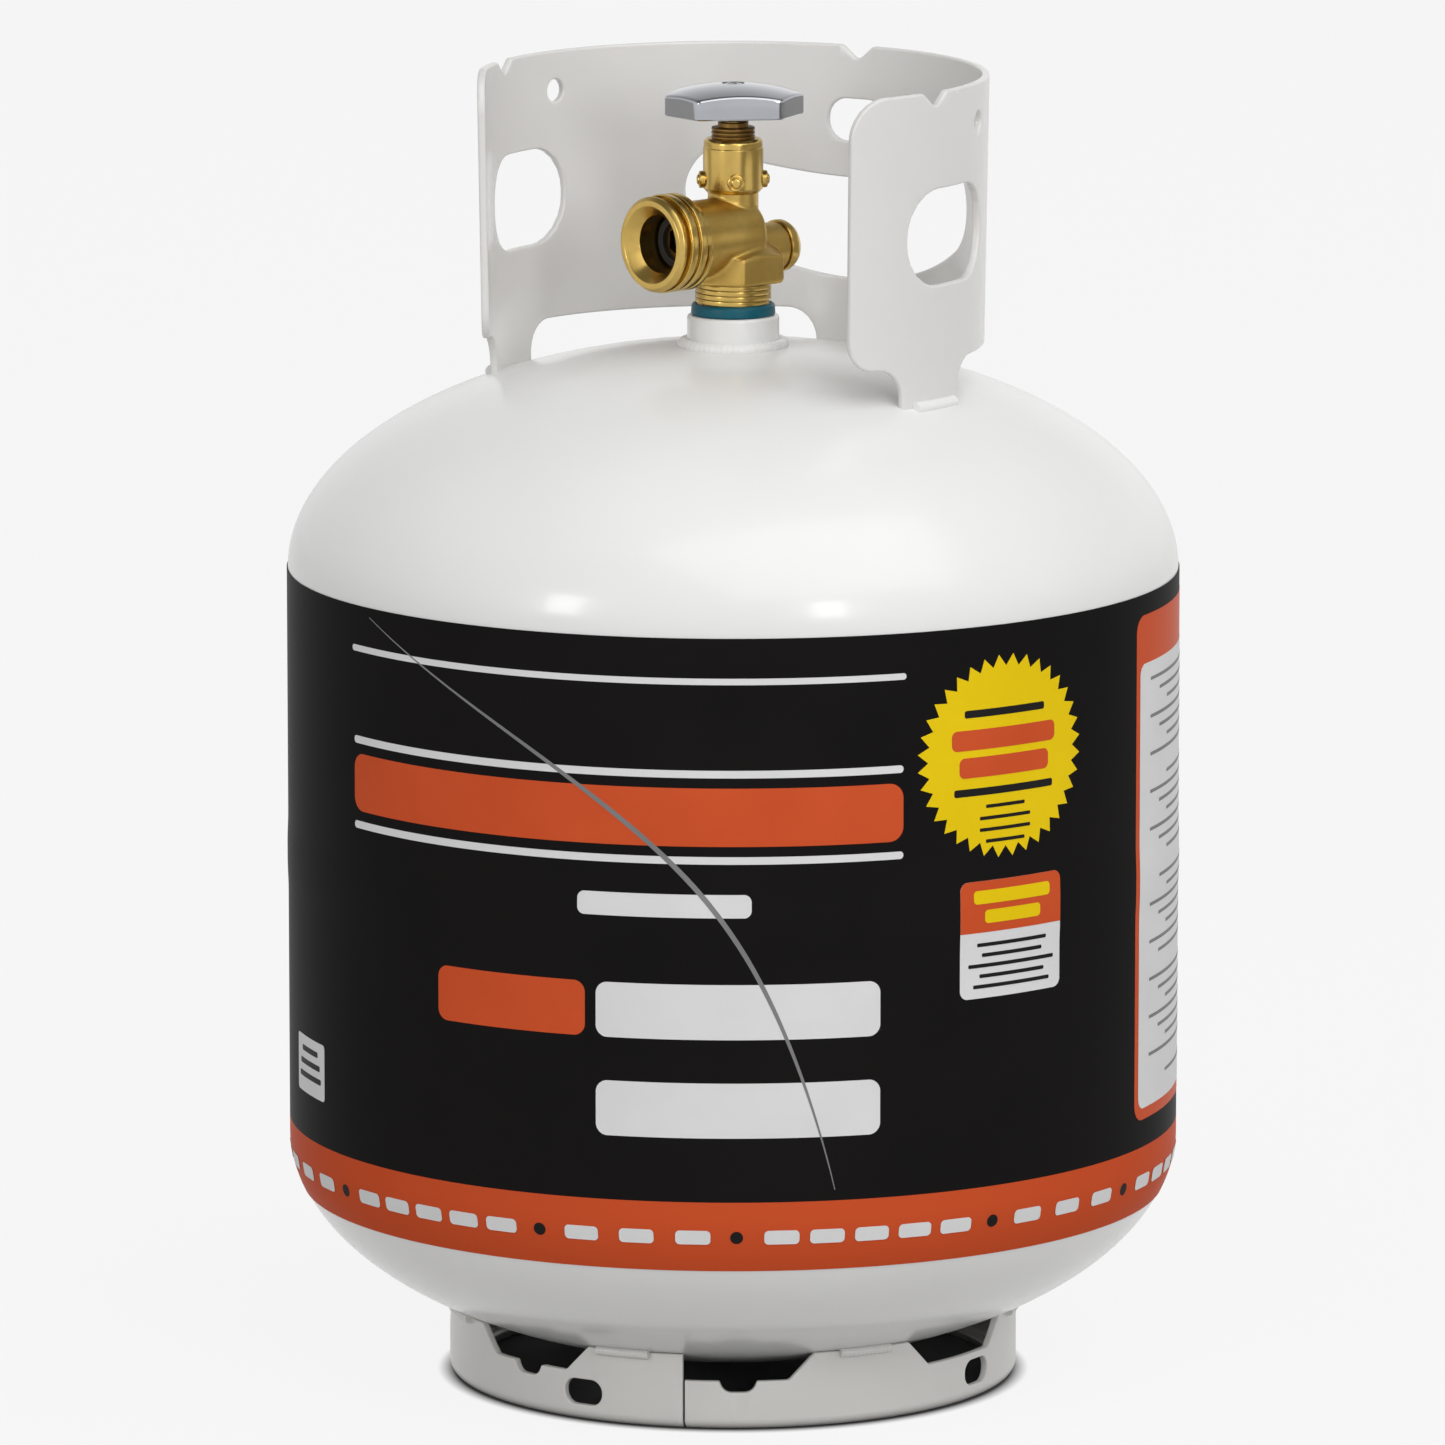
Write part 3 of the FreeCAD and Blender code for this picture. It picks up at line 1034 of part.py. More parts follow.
def relief_poppet():
    start = RELIEF_FLOOR + RUN
    guide_end = CAP_END - CAP_WALL - RELIEF_TRAVEL - RUN
    return along_port([
        (start, 0.0), (start, RELIEF_DISC_R, 0.3), (RELIEF_BACK, RELIEF_DISC_R, 0.3),
        (RELIEF_BACK, RELIEF_GUIDE_R), (guide_end, RELIEF_GUIDE_R, 0.5), (guide_end, 0.0)],
        RELIEF_AT, RELIEF_Z)


def relief_spring():
    length = CAP_END - CAP_WALL - RELIEF_BACK - 2.0 * SEAT
    spring = coil(RELIEF_COIL_R, length, RELIEF_COIL_TURNS, COIL_WIRE_R)
    return point_out(spring, RELIEF_AT, RELIEF_BACK + SEAT, RELIEF_Z)


def relief_cap():
    """Rolled cap on the relief port, with a spigot in the bore and a small vent hole."""
    inner = RELIEF_BORE_R - 1.2
    spigot = RELIEF_END - 1.6
    return along_port([
        (spigot, inner), (spigot, RELIEF_BORE_R - SEAT), (RELIEF_END, RELIEF_BORE_R - SEAT),
        (RELIEF_END, CAP_R, 0.5), (CAP_END, CAP_R, 2.2), (CAP_END, VENT_R),
        (CAP_END - CAP_WALL, VENT_R), (CAP_END - CAP_WALL, inner)], RELIEF_AT, RELIEF_Z)


# ---- fixed level gauge ---------------------------------------------------------------
def bleeder_screw():
    head = VENT_BOSS_END + RUN
    end = head + VENT_HEAD
    shape = along_port([
        (VENT_STEM_START, 0.0), (VENT_STEM_START, VENT_STEM_R, 0.6), (head, VENT_STEM_R),
        (head, VENT_HEAD_R, 0.4), (end, VENT_HEAD_R, 0.6), (end, 0.0)], VENT_AT, VENT_Z)
    slot = Part.makeBox(2.0, 2.0 * VENT_HEAD_R + 2.0, 1.1,
                        Vector(end - 1.3, -VENT_HEAD_R - 1.0, VENT_Z - 0.55))
    return shape.cut(at_bearing(slot, VENT_AT))


def dip_tube():
    top = SHANK_BOTTOM_Z + 7.5
    tube = Part.makeCylinder(DIP_R, top - DIP_END_Z, Vector(DIP_AT, 0, DIP_END_Z))
    hole = Part.makeCylinder(DIP_BORE_R, top - DIP_END_Z + 2.0, Vector(DIP_AT, 0, DIP_END_Z - 1.0))
    return at_bearing(tube.cut(hole), VENT_AT)


# ---- overfill stop -------------------------------------------------------------------
def opd_housing():
    height = SHANK_BOTTOM_Z + STOP_SPIGOT - SEAT - STOP_END_Z
    shape = Part.makeCylinder(STOP_R, height, Vector(STOP_OFFSET, 0, STOP_END_Z))
    bore = Part.makeCylinder(STOP_BORE_R, SHANK_BOTTOM_Z + 20.0 - STOP_FLOOR_Z,
                             Vector(STOP_OFFSET, 0, STOP_FLOOR_Z))
    rod_hole = Part.makeCylinder(ROD_R + FIT, 20.0, Vector(STOP_OFFSET, 0, STOP_FORK_Z - 10.0))
    slot = Part.makeBox(4.0 * STOP_R, FORK_SLOT, STOP_FORK_Z - STOP_END_Z + 1.0,
                        Vector(STOP_OFFSET - 2.0 * STOP_R, -FORK_SLOT / 2.0, STOP_END_Z - 1.0))
    pin_hole = Part.makeCylinder(PIVOT_R + SEAT, 4.0 * STOP_R,
                                 Vector(STOP_OFFSET, -2.0 * STOP_R, PIVOT_Z), Vector(0, 1, 0))
    shape = shape.cut(bore).cut(rod_hole).cut(slot).cut(pin_hole)
    for turn in (0.0, 90.0):
        window = Part.makeCylinder(STOP_WINDOW_R, 4.0 * STOP_R,
                                   Vector(STOP_OFFSET - 2.0 * STOP_R, 0, STOP_WINDOW_Z),
                                   Vector(1, 0, 0))
        window.rotate(Vector(STOP_OFFSET, 0, 0), Z_AXIS, turn + 45.0)
        shape = shape.cut(window)
    return at_bearing(shape, STOP_AT)


def opd_pivot_pin():
    half = math.sqrt(STOP_R ** 2 - PIVOT_R ** 2) - 0.3
    pin = Part.makeCylinder(PIVOT_R, 2.0 * half, Vector(STOP_OFFSET, -half, PIVOT_Z), Vector(0, 1, 0))
    return at_bearing(pin, STOP_AT)


def opd_piston():
    disc = Part.makeCylinder(PISTON_R, PISTON_THICK, Vector(STOP_OFFSET, 0, PISTON_LOW_Z))
    rod = Part.makeCylinder(ROD_R, PISTON_LOW_Z + 1.0 - ROD_LOW_Z, Vector(STOP_OFFSET, 0, ROD_LOW_Z))
    return at_bearing(disc.fuse(rod).removeSplitter(), STOP_AT)


def float_arm():
    """Flat arm on the pivot with a cam nose that comes up under the rod as the float rises."""
    back = ARM_THICK / 2.0
    axis = Vector(0, 1, 0)
    hub = Part.makeCylinder(CAM_HUB_R, ARM_THICK, Vector(STOP_OFFSET, -back, PIVOT_Z), axis)
    a = math.radians(CAM_ANGLE)
    reach = CAM_HUB_R + PISTON_LIFT - CAM_PLAY - CAM_NOSE_R
    nose_x = STOP_OFFSET + reach * math.sin(a)
    nose_z = PIVOT_Z + reach * math.cos(a)
    nose = Part.makeCylinder(CAM_NOSE_R, ARM_THICK, Vector(nose_x, -back, nose_z), axis)
    strip = Part.makeBox(ARM_WIDTH, ARM_THICK, ARM_LENGTH,
                         Vector(STOP_OFFSET - ARM_WIDTH / 2.0, -back, ARM_END_Z))
    wire = Part.makeCylinder(ARM_WIRE_R, FLOAT_LENGTH * 0.8 + 1.0,
                             Vector(STOP_OFFSET, 0, ARM_END_Z - FLOAT_LENGTH * 0.8))
    shape = hub.fuse([nose, strip]).removeSplitter()
    eye = Part.makeCylinder(PIVOT_R + FIT, 4.0 * ARM_THICK,
                            Vector(STOP_OFFSET, -2.0 * ARM_THICK, PIVOT_Z), axis)
    shape = shape.cut(eye).fuse(wire).removeSplitter()
    return at_bearing(shape, STOP_AT)


def fill_float():
    low = ARM_END_Z - FLOAT_LENGTH
    shape = turned([(0.0, low), (FLOAT_R, low, FLOAT_ROUND), (FLOAT_R, ARM_END_Z, FLOAT_ROUND),
                    (0.0, ARM_END_Z)])
    hole = Part.makeCylinder(ARM_WIRE_R + SEAT, FLOAT_LENGTH * 0.8 + SEAT,
                             Vector(0, 0, ARM_END_Z - FLOAT_LENGTH * 0.8 - SEAT))
    shape = shape.cut(hole)
    shape.translate(Vector(STOP_OFFSET, 0, 0))
    return at_bearing(shape, STOP_AT)


NODES = (upper_shell, lower_shell, girth_weld, label_sleeve, neck_boss, neck_weld, foot_ring,
         foot_ring_welds, collar, collar_welds, valve_body, thread_sealant, bonnet, gland_nut,
         stem, stem_o_rings, seat_plug, seat_disc, handwheel, handwheel_screw, check_retainer,
         outlet_gasket, check_poppet, check_spring, relief_poppet, relief_spring, relief_cap,
         bleeder_screw, dip_tube, opd_housing, opd_pivot_pin, opd_piston, float_arm, fill_float)

for make in NODES:
    save(make(), make.__name__)
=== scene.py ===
import json
from cmath import phase, rect
from math import acos, asin, ceil, cos, degrees, hypot, pi, radians, sin, sqrt, tan

import bmesh
import bpy
from mathutils import Matrix, Vector
from mathutils.geometry import tessellate_polygon

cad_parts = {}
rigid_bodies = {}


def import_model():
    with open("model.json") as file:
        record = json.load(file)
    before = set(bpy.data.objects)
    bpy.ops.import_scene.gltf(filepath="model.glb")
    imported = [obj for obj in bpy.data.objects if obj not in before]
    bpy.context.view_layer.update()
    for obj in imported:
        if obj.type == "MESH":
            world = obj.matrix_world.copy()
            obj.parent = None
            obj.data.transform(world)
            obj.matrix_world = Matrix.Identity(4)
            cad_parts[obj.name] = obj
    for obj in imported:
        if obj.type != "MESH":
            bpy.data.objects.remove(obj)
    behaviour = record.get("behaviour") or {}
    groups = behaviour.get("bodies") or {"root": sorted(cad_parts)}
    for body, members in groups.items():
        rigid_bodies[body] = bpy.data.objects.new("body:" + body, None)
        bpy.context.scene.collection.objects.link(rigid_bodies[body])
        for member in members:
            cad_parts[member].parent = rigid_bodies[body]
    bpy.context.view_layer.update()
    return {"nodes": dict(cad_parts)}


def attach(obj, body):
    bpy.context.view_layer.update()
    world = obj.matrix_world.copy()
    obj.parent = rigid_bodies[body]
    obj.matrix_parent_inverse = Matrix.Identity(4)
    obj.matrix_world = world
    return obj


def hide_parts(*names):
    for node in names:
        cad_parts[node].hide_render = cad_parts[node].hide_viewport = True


for leftover in list(bpy.data.objects):
    bpy.data.objects.remove(leftover)
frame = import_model()

# ==== TANK HALVES ====
# Two cups deep drawn from 2.3 mm steel sheet, each with an elliptical end half as deep
# as it is wide. They are welded together round the middle and powder coated white.
MM = 0.001
TANK_R = 155.0
TANK_WALL = 2.3
HEAD_DEPTH = 77.5
LOWER_TANGENT = 86.5
UPPER_TANGENT = 286.0
SEAM_HEIGHT = 186.0
BOSS_R = 16.0
HEAD_STEPS = 40


def rounded(corners, steps=5):
    """Points round a closed outline of (x, y, rounding), with short runs for a rounding."""
    points = []
    count = len(corners)
    for i, corner in enumerate(corners):
        here = Vector(corner[:2])
        radius = corner[2] if len(corner) > 2 else 0.0
        if radius <= 0.0:
            points.append((here.x, here.y))
            continue
        back = (Vector(corners[i - 1][:2]) - here).normalized()
        onward = (Vector(corners[(i + 1) % count][:2]) - here).normalized()
        half = back.angle(onward) / 2.0
        centre = here + (back + onward).normalized() * (radius / sin(half))
        first = here + back * (radius / tan(half)) - centre
        last = here + onward * (radius / tan(half)) - centre
        for step in range(steps + 1):
            share = step / steps
            spoke = first.lerp(last, share).normalized() * radius
            points.append((centre.x + spoke.x, centre.y + spoke.y))
    return points


def placed(name, data):
    """New object at the origin of the scene."""
    made = bpy.data.objects.new(name, data)
    bpy.context.scene.collection.objects.link(made)
    return made


def closed(shape):
    """The same bmesh with its doubles merged and its faces turned outwards."""
    bmesh.ops.remove_doubles(shape, verts=shape.verts, dist=1e-7)
    bmesh.ops.recalc_face_normals(shape, faces=shape.faces)
    return shape


def plain(name, shape):
    """Object from a bmesh in metres."""
    mesh = bpy.data.meshes.new(name)
    shape.to_mesh(mesh)
    shape.free()
    return placed(name, mesh)


def shaded(piece, sharp):
    """The same piece, smooth between its corners."""
    piece.data.shade_smooth()
    piece.data.set_sharp_from_angle(angle=radians(sharp))
    return piece


def make_piece(name, shape, sharp=32.0):
    return shaded(plain(name, closed(shape)), sharp)


def bridge(shape, rings):
    """Faces between each ring of vertices and the next; a ring may be a single vertex."""
    for ring, other in zip(rings, rings[1:]):
        around = max(len(ring), len(other))
        for i in range(around if around > 1 else 0):
            j = (i + 1) % around
            corners = (ring[i % len(ring)], ring[j % len(ring)],
                       other[j % len(other)], other[i % len(other)])
            shape.faces.new(tuple(dict.fromkeys(corners)))


def turned_shape(corners, around=256):
    """A bmesh turned about Z from a closed outline of (radius, height, rounding) in mm."""
    shape = bmesh.new()
    rings = []
    for radius, height in rounded(corners):
        reach = radius * MM if radius > 1e-6 else 0.0
        angles = [2.0 * pi * i / around for i in range(around if reach else 1)]
        rings.append([shape.verts.new((reach * cos(a), reach * sin(a), height * MM)) for a in angles])
    bridge(shape, rings + rings[:1])
    return shape


def turned(name, corners, around=256):
    return make_piece(name, turned_shape(corners, around))


def wire(tree, node, inputs):
    """Set a node's inputs, each to a value or to another node's output."""
    for socket, value in inputs.items():
        if isinstance(value, bpy.types.NodeSocket):
            tree.links.new(value, node.inputs[socket])
        else:
            node.inputs[socket].default_value = value


def add(tree, kind, inputs=None, output=0, **settings):
    """Add a node, of the tree's own family unless its kind says so, and give one output."""
    node = tree.nodes.new(kind if "Node" in kind else tree.bl_idname.removesuffix("Tree") + kind)
    for name, value in settings.items():
        setattr(node, name, value)
    wire(tree, node, inputs or {})
    return node.outputs[output]


def maths(tree, operation, *values):
    return add(tree, "ShaderNodeMath", dict(enumerate(values)), operation=operation)


def remap(tree, value, low, high, start=0.0, end=1.0):
    """Node that takes a value from start .. end to low .. high."""
    return add(tree, "ShaderNodeMapRange", {
        "Value": value, "From Min": start, "From Max": end, "To Min": low, "To Max": high})


def finish(name, colour, tint, roughness, metallic=0.0, patches=30.0, grain=400.0, depth=0.02,
           spread=0.06, coat=0.0, specular=0.5):
    """Surface whose colour and roughness drift over wide patches, with a fine grain in relief."""
    material = bpy.data.materials.new(name)
    material.use_nodes = True
    tree = material.node_tree
    place = add(tree, "TexCoord", output="Object")
    drift = add(tree, "TexNoise", {"Vector": place, "Scale": patches, "Detail": 4.0})
    shade = add(tree, "ValToRGB", {"Fac": drift})
    stops = ((0.3, colour), (0.7, tint))
    for element, (position, tone) in zip(shade.node.color_ramp.elements, stops):
        element.position = position
        element.color = (*tone, 1.0)
    gloss = remap(tree, drift, max(0.02, roughness - spread), roughness + spread)
    fine = add(tree, "TexNoise", {"Vector": place, "Scale": grain, "Detail": 3.0})
    relief = add(tree, "Bump", {"Strength": 0.5, "Distance": depth * MM, "Height": fine})
    wire(tree, tree.nodes["Principled BSDF"], {
        "Base Color": shade, "Roughness": gloss, "Normal": relief, "Metallic": metallic,
        "Coat Weight": coat, "Coat Roughness": 0.07, "Specular IOR Level": specular})
    return material


def fit(piece, material, body, slot, *nodes):
    """Give a piece its finish and its body, and let it stand for its CAD nodes."""
    piece.data.materials.clear()
    piece.data.materials.append(material)
    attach(piece, body)
    if nodes:
        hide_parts(*nodes)


def head(radius, depth, tangent, side, r_from, r_to):
    """Points of an elliptical end between two radii, on the upper (1) or lower (-1) side."""
    first, last = acos(min(1.0, r_from / radius)), acos(min(1.0, r_to / radius))
    angles = [first + (last - first) * i / HEAD_STEPS for i in range(HEAD_STEPS + 1)]
    return [(radius * cos(angle), tangent + side * depth * sin(angle)) for angle in angles]


white_paint = finish("shell_paint", (0.80, 0.80, 0.79), (0.84, 0.84, 0.83), 0.24, patches=9.0,
                     grain=260.0, depth=0.010, spread=0.03, coat=0.20, specular=0.35)

SEAM_HALF = 0.5
SEAT_GAP = 0.05
inner_r, inner_depth = TANK_R - TANK_WALL, HEAD_DEPTH - TANK_WALL
neck_hole = BOSS_R + SEAT_GAP
upper = head(TANK_R, HEAD_DEPTH, UPPER_TANGENT, 1, TANK_R, neck_hole)
upper += head(inner_r, inner_depth, UPPER_TANGENT, 1, neck_hole, inner_r)
upper += [(inner_r, SEAM_HEIGHT + SEAM_HALF), (TANK_R, SEAM_HEIGHT + SEAM_HALF)]
fit(turned("tank_upper_half", upper), white_paint, "tank", "shell_paint", "upper_shell")

LIP_R = inner_r - SEAT_GAP
LIP_TOP = SEAM_HEIGHT + SEAM_HALF + 12.0
lower = head(TANK_R, HEAD_DEPTH, LOWER_TANGENT, -1, 0.0, TANK_R)
lower += [(TANK_R, SEAM_HEIGHT - SEAM_HALF), (LIP_R, SEAM_HEIGHT - SEAM_HALF), (LIP_R, LIP_TOP),
          (LIP_R - TANK_WALL, LIP_TOP), (LIP_R - TANK_WALL, SEAM_HEIGHT - 5.1),
          (inner_r, SEAM_HEIGHT - 9.7)]
lower += head(inner_r, inner_depth, LOWER_TANGENT, -1, inner_r, 0.0)
fit(turned("tank_lower_half", lower), white_paint, "tank", "shell_paint", "lower_shell")

# ==== WELDS ====
# Beads of melted steel wire laid by a machine, so each keeps one width and carries the
# small ripples of the moving arc. They are painted over with the tank.
def new_tree(name, labels):
    """Empty Geometry Nodes tree with named inputs, and the outputs that give them."""
    tree = bpy.data.node_groups.new(name, "GeometryNodeTree")
    tree.interface.new_socket("Geometry", in_out="OUTPUT", socket_type="NodeSocketGeometry")
    for label in labels:
        kind = "NodeSocketInt" if label == "Count" else "NodeSocketFloat"
        tree.interface.new_socket(label, in_out="INPUT", socket_type=kind)
    return tree, tree.nodes.new("NodeGroupInput").outputs


def swept(tree, path, section, swell):
    """A section swept along a path with closed ends, scaled by a factor on the way."""
    return add(tree, "CurveToMesh", {
        "Curve": path, "Profile Curve": section, "Scale": swell, "Fill Caps": True})


def end_tree(tree, result, material):
    """Every tree ends alike: instances made real, then the finish."""
    real = add(tree, "RealizeInstances", {"Geometry": result})
    paint = add(tree, "SetMaterial", {"Geometry": real, "Material": material})
    wire(tree, tree.nodes.new("NodeGroupOutput"), {"Geometry": paint})
    return tree


def weld_tree(material):
    """Geometry Nodes: a rippled bead swept along part of a level circle."""
    tree, given = new_tree("weld_bead", ("Radius", "Height", "Start", "Span", "Bead Size", "Ripples"))
    arc = add(tree, "CurveArc", {
        "Resolution": 96, "Radius": given["Radius"], "Start Angle": given["Start"],
        "Sweep Angle": given["Span"]})
    count = maths(tree, "MULTIPLY", add(tree, "SplineParameter"), given["Ripples"])
    swell = remap(tree, maths(tree, "FRACT", count), 1.0, RIPPLE_LOW)
    section = add(tree, "CurvePrimitiveCircle", {
        "Resolution": 12, "Radius": given["Bead Size"]})
    lift = add(tree, "ShaderNodeCombineXYZ", {"Z": given["Height"]})
    move = add(tree, "Transform", {
        "Geometry": swept(tree, arc, section, swell), "Translation": lift})
    smooth = add(tree, "SetShadeSmooth", {"Geometry": move})
    return end_tree(tree, smooth, material)


def evaluated(piece):
    """Plain mesh of a piece with its modifiers applied."""
    bpy.context.view_layer.update()
    graph = bpy.context.evaluated_depsgraph_get()
    return bpy.data.meshes.new_from_object(piece.evaluated_get(graph), depsgraph=graph)


def grow(tree, **sizes):
    """Plain mesh object grown by a Geometry Nodes tree from its named inputs, in metres."""
    seed = placed("seed", bpy.data.meshes.new("seed"))
    modifier = seed.modifiers.new("grow", "NODES")
    modifier.node_group = tree
    for socket in tree.interface.items_tree:
        if socket.in_out == "INPUT":
            modifier[socket.identifier] = sizes[socket.name.replace(" ", "_")]
    mesh = evaluated(seed)
    seed.modifiers.remove(modifier)
    bpy.data.objects.remove(seed)
    return placed("grown", mesh)


def joined(name, pieces):
    """One object from several that share a body and a finish."""
    whole = bmesh.new()
    for piece in pieces:
        whole.from_mesh(piece.data)
        bpy.data.objects.remove(piece)
    return make_piece(name, whole, 50.0)


def head_z(radius):
    """Height of the upper head's outer face at a radius."""
    return UPPER_TANGENT + HEAD_DEPTH * sqrt(1.0 - (radius / TANK_R) ** 2)


RIPPLE_LOW = 0.93
bead = weld_tree(white_paint)


def beads(name, material, slot, node, radius, height, starts, span, size, ripples):
    """One piece from beads of a span in degrees that start at the given angles."""
    runs = [grow(bead, Radius=radius * MM, Height=height * MM, Start=radians(start),
                 Span=radians(span), Bead_Size=size * MM, Ripples=ripples) for start in starts]
    fit(joined(name, runs), material, "tank", slot, node)


SWELL = 0.3
bead_foot, bead_face, root_half = TANK_R + SEAT_GAP, TANK_R + SWELL, 0.45
seam = [(bead_foot, SEAM_HEIGHT - 4.5), (bead_face, SEAM_HEIGHT - 2.0, 3.0),
        (bead_face, SEAM_HEIGHT + 2.0, 3.0), (bead_foot, SEAM_HEIGHT + 4.5),
        (bead_foot, SEAM_HEIGHT + root_half), (inner_r, SEAM_HEIGHT + root_half),
        (inner_r, SEAM_HEIGHT - root_half), (bead_foot, SEAM_HEIGHT - root_half)]
fit(turned("girth_weld_bead", seam), white_paint, "tank", "shell_paint", "girth_weld")

NECK_BEAD, NECK_R = 2.48, BOSS_R + 0.9
beads("neck_weld_bead", white_paint, "shell_paint", "neck_weld", NECK_R, head_z(NECK_R) + 0.5,
      (0.0, 90.0, 180.0, 270.0), 90.5, NECK_BEAD, 14.0)

# ==== NECK BOSS ====
# Forged steel ring welded into the top of the tank and threaded inside for the valve.
# It is painted with the tank, and stands 10.5 mm proud of the head.
BOSS_TOP = 374.0
boss = turned("neck_boss_ring", [(12.7, 352.0), (BOSS_R, 352.0), (BOSS_R, BOSS_TOP, 1.2),
                                 (13.25, BOSS_TOP, 0.3)], around=192)
fit(boss, white_paint, "tank", "shell_paint", "neck_boss")

# ==== FOOT RING ====
# Strip of 2.6 mm steel rolled into a ring, its lower edge curled in to stand on. Windows
# in the top edge and slots in the side drain and air it; short welds hold it to the head.
RING_R = 99.5
RING_WALL = 2.6
RING_TOP = 26.4
CURL_R = 4.0
CURL_IN = 8.0
SLIT_AT = -9.9
SLIT = 0.7
WINDOW_PITCH = 52.2
WINDOW_FLOOR = 17.2
WINDOW_HALVES = (15.5, 10.2)
DRAIN_DEPTH = 4.0
RING_SLOT = (15.0, 9.0, 4.2)


def inset_loop(points, inset):
    """The same loop moved into the sheet, which lies on its left."""
    moved = []
    count = len(points)
    for i, point in enumerate(points):
        here = Vector(point)
        before = (here - Vector(points[i - 1])).normalized()
        after = (Vector(points[(i + 1) % count]) - here).normalized()
        left = Vector((-before.y - after.y, before.x + after.x))
        if left.length < 1e-6:
            moved.append(point)
            continue
        left.normalize()
        slant = max(0.4, left.dot(Vector((-before.y, before.x))))
        moved.append((here.x + left.x * inset / slant, here.y + left.y * inset / slant))
    return moved


def clean_loop(points, clockwise):
    """A loop without repeated points, turned the asked way round."""
    kept = [p for i, p in enumerate(points) if (Vector(p) - Vector(points[i - 1])).length > 0.02]
    area = sum(a[0] * b[1] - b[0] * a[1] for a, b in zip(kept, kept[1:] + kept[:1]))
    return kept[::-1] if (area > 0.0) == clockwise else kept


def sheet(outer, holes, wall, edge, bend, slices, levels):
    """bmesh of a cut sheet with rounded edges, sliced upright and level, then bent to shape.

    bend(x, y, depth) gives a point in mm, with depth measured from the outer face.
    """
    loops = [clean_loop(outer, False)] + [clean_loop(hole, True) for hole in holes]
    swings = [pi / 6.0 * k for k in range(4)] if edge > 0.0 else [0.0]
    layers = [(edge * (1.0 - sin(swing)), edge * (1.0 - cos(swing))) for swing in swings]
    layers += [(inset, wall - depth) for inset, depth in reversed(layers)]
    shape = bmesh.new()
    rows = [[[shape.verts.new((x, y, depth)) for x, y in inset_loop(loop, inset)] for loop in loops]
            for inset, depth in layers]
    for row, other in zip(rows, rows[1:]):
        for pair in zip(row, other):
            bridge(shape, pair)
    for row in (rows[0], rows[-1]):
        flat = [vert for loop in row for vert in loop]
        for corners in tessellate_polygon([[vert.co for vert in loop] for loop in row]):
            shape.faces.new([flat[c] for c in corners])
    low, high = min(p[0] for p in loops[0]), max(p[0] for p in loops[0])
    count = ceil((high - low) / slices)
    planes = [((low + (high - low) * i / count, 0.0, 0.0), (1.0, 0.0, 0.0)) for i in range(1, count)]
    planes += [((0.0, level, 0.0), (0.0, 1.0, 0.0)) for level in levels]
    for point, normal in planes:
        bmesh.ops.bisect_plane(shape, geom=shape.verts[:] + shape.edges[:] + shape.faces[:],
                               dist=1e-4, plane_co=point, plane_no=normal)
    for vert in shape.verts:
        vert.co = Vector(bend(*vert.co)) * MM
    return shape


def at(radius, bearing, height):
    """Point at a bearing in degrees: 0 faces the front and bearings grow to the right."""
    return (radius * sin(radians(bearing)), -radius * cos(radians(bearing)), height)


def ring_bend(x, y, depth):
    """Upright wall, then the curl, then the flange that turns in to stand on the floor."""
    arc = (CURL_R - y) / CURL_R
    if arc <= 0.0:
        radius, height = RING_R - depth, y
    elif arc <= pi / 2.0:
        radius = RING_R - CURL_R + (CURL_R - depth) * cos(arc)
        height = CURL_R - (CURL_R - depth) * sin(arc)
    else:
        radius = RING_R - CURL_R - (arc - pi / 2.0) * CURL_R
        height = depth
    return at(radius, degrees(x / RING_R), height)


def round_window(x, y, width, height, corner):
    sides = ((-1.0, -1.0), (1.0, -1.0), (1.0, 1.0), (-1.0, 1.0))
    return rounded([(x + side * width / 2.0, y + end * height / 2.0, corner) for side, end in sides], 6)


def ring_x(bearing):
    return RING_R * radians(bearing)


ring_left = ring_x(SLIT_AT) + SLIT / 2.0
ring_right = ring_x(SLIT_AT + 360.0) - SLIT / 2.0
flange_edge = CURL_R - CURL_R * pi / 2.0 - (CURL_IN - CURL_R)
ring_outline = [(ring_left, flange_edge), (ring_right, flange_edge), (ring_right, RING_TOP)]
window_places = [1.0 + WINDOW_PITCH * i for i in range(7)]
for i, bearing in reversed(list(enumerate(window_places))):
    middle, wide, narrow = ring_x(bearing), ring_x(WINDOW_HALVES[0]), ring_x(WINDOW_HALVES[1])
    ring_outline += [(middle + wide, RING_TOP, 0.5), (middle + narrow, WINDOW_FLOOR, 2.4)]
    if i in (0, 6):
        drain = WINDOW_FLOOR - DRAIN_DEPTH
        ring_outline += [(middle + 6.6, WINDOW_FLOOR, 0.8), (middle + 5.0, drain, 4.2),
                         (middle - 5.0, drain, 4.2), (middle - 6.6, WINDOW_FLOOR, 0.8)]
    if i == 0:
        ring_outline.append((ring_left, WINDOW_FLOOR))
    else:
        ring_outline += [(middle - narrow, WINDOW_FLOOR, 1.4), (middle - wide, RING_TOP, 0.5)]
ring_slots = [round_window(ring_x(58.5 + 90.0 * i), 10.2, *RING_SLOT) for i in range(4)]
curl_levels = [CURL_R * (1.0 - pi / 2.0 * k / 8.0) for k in range(9)]
ring_shape = sheet(rounded(ring_outline), ring_slots, RING_WALL, 0.5, ring_bend, 2.0, curl_levels)
foot_ring = make_piece("foot_ring_strip", ring_shape, 40.0)
ring_paint = finish("ring_paint", (0.70, 0.69, 0.665), (0.74, 0.73, 0.705), 0.34, patches=16.0,
                    grain=240.0, depth=0.016, spread=0.05, coat=0.1)
fit(foot_ring, ring_paint, "tank", "ring_paint", "foot_ring")

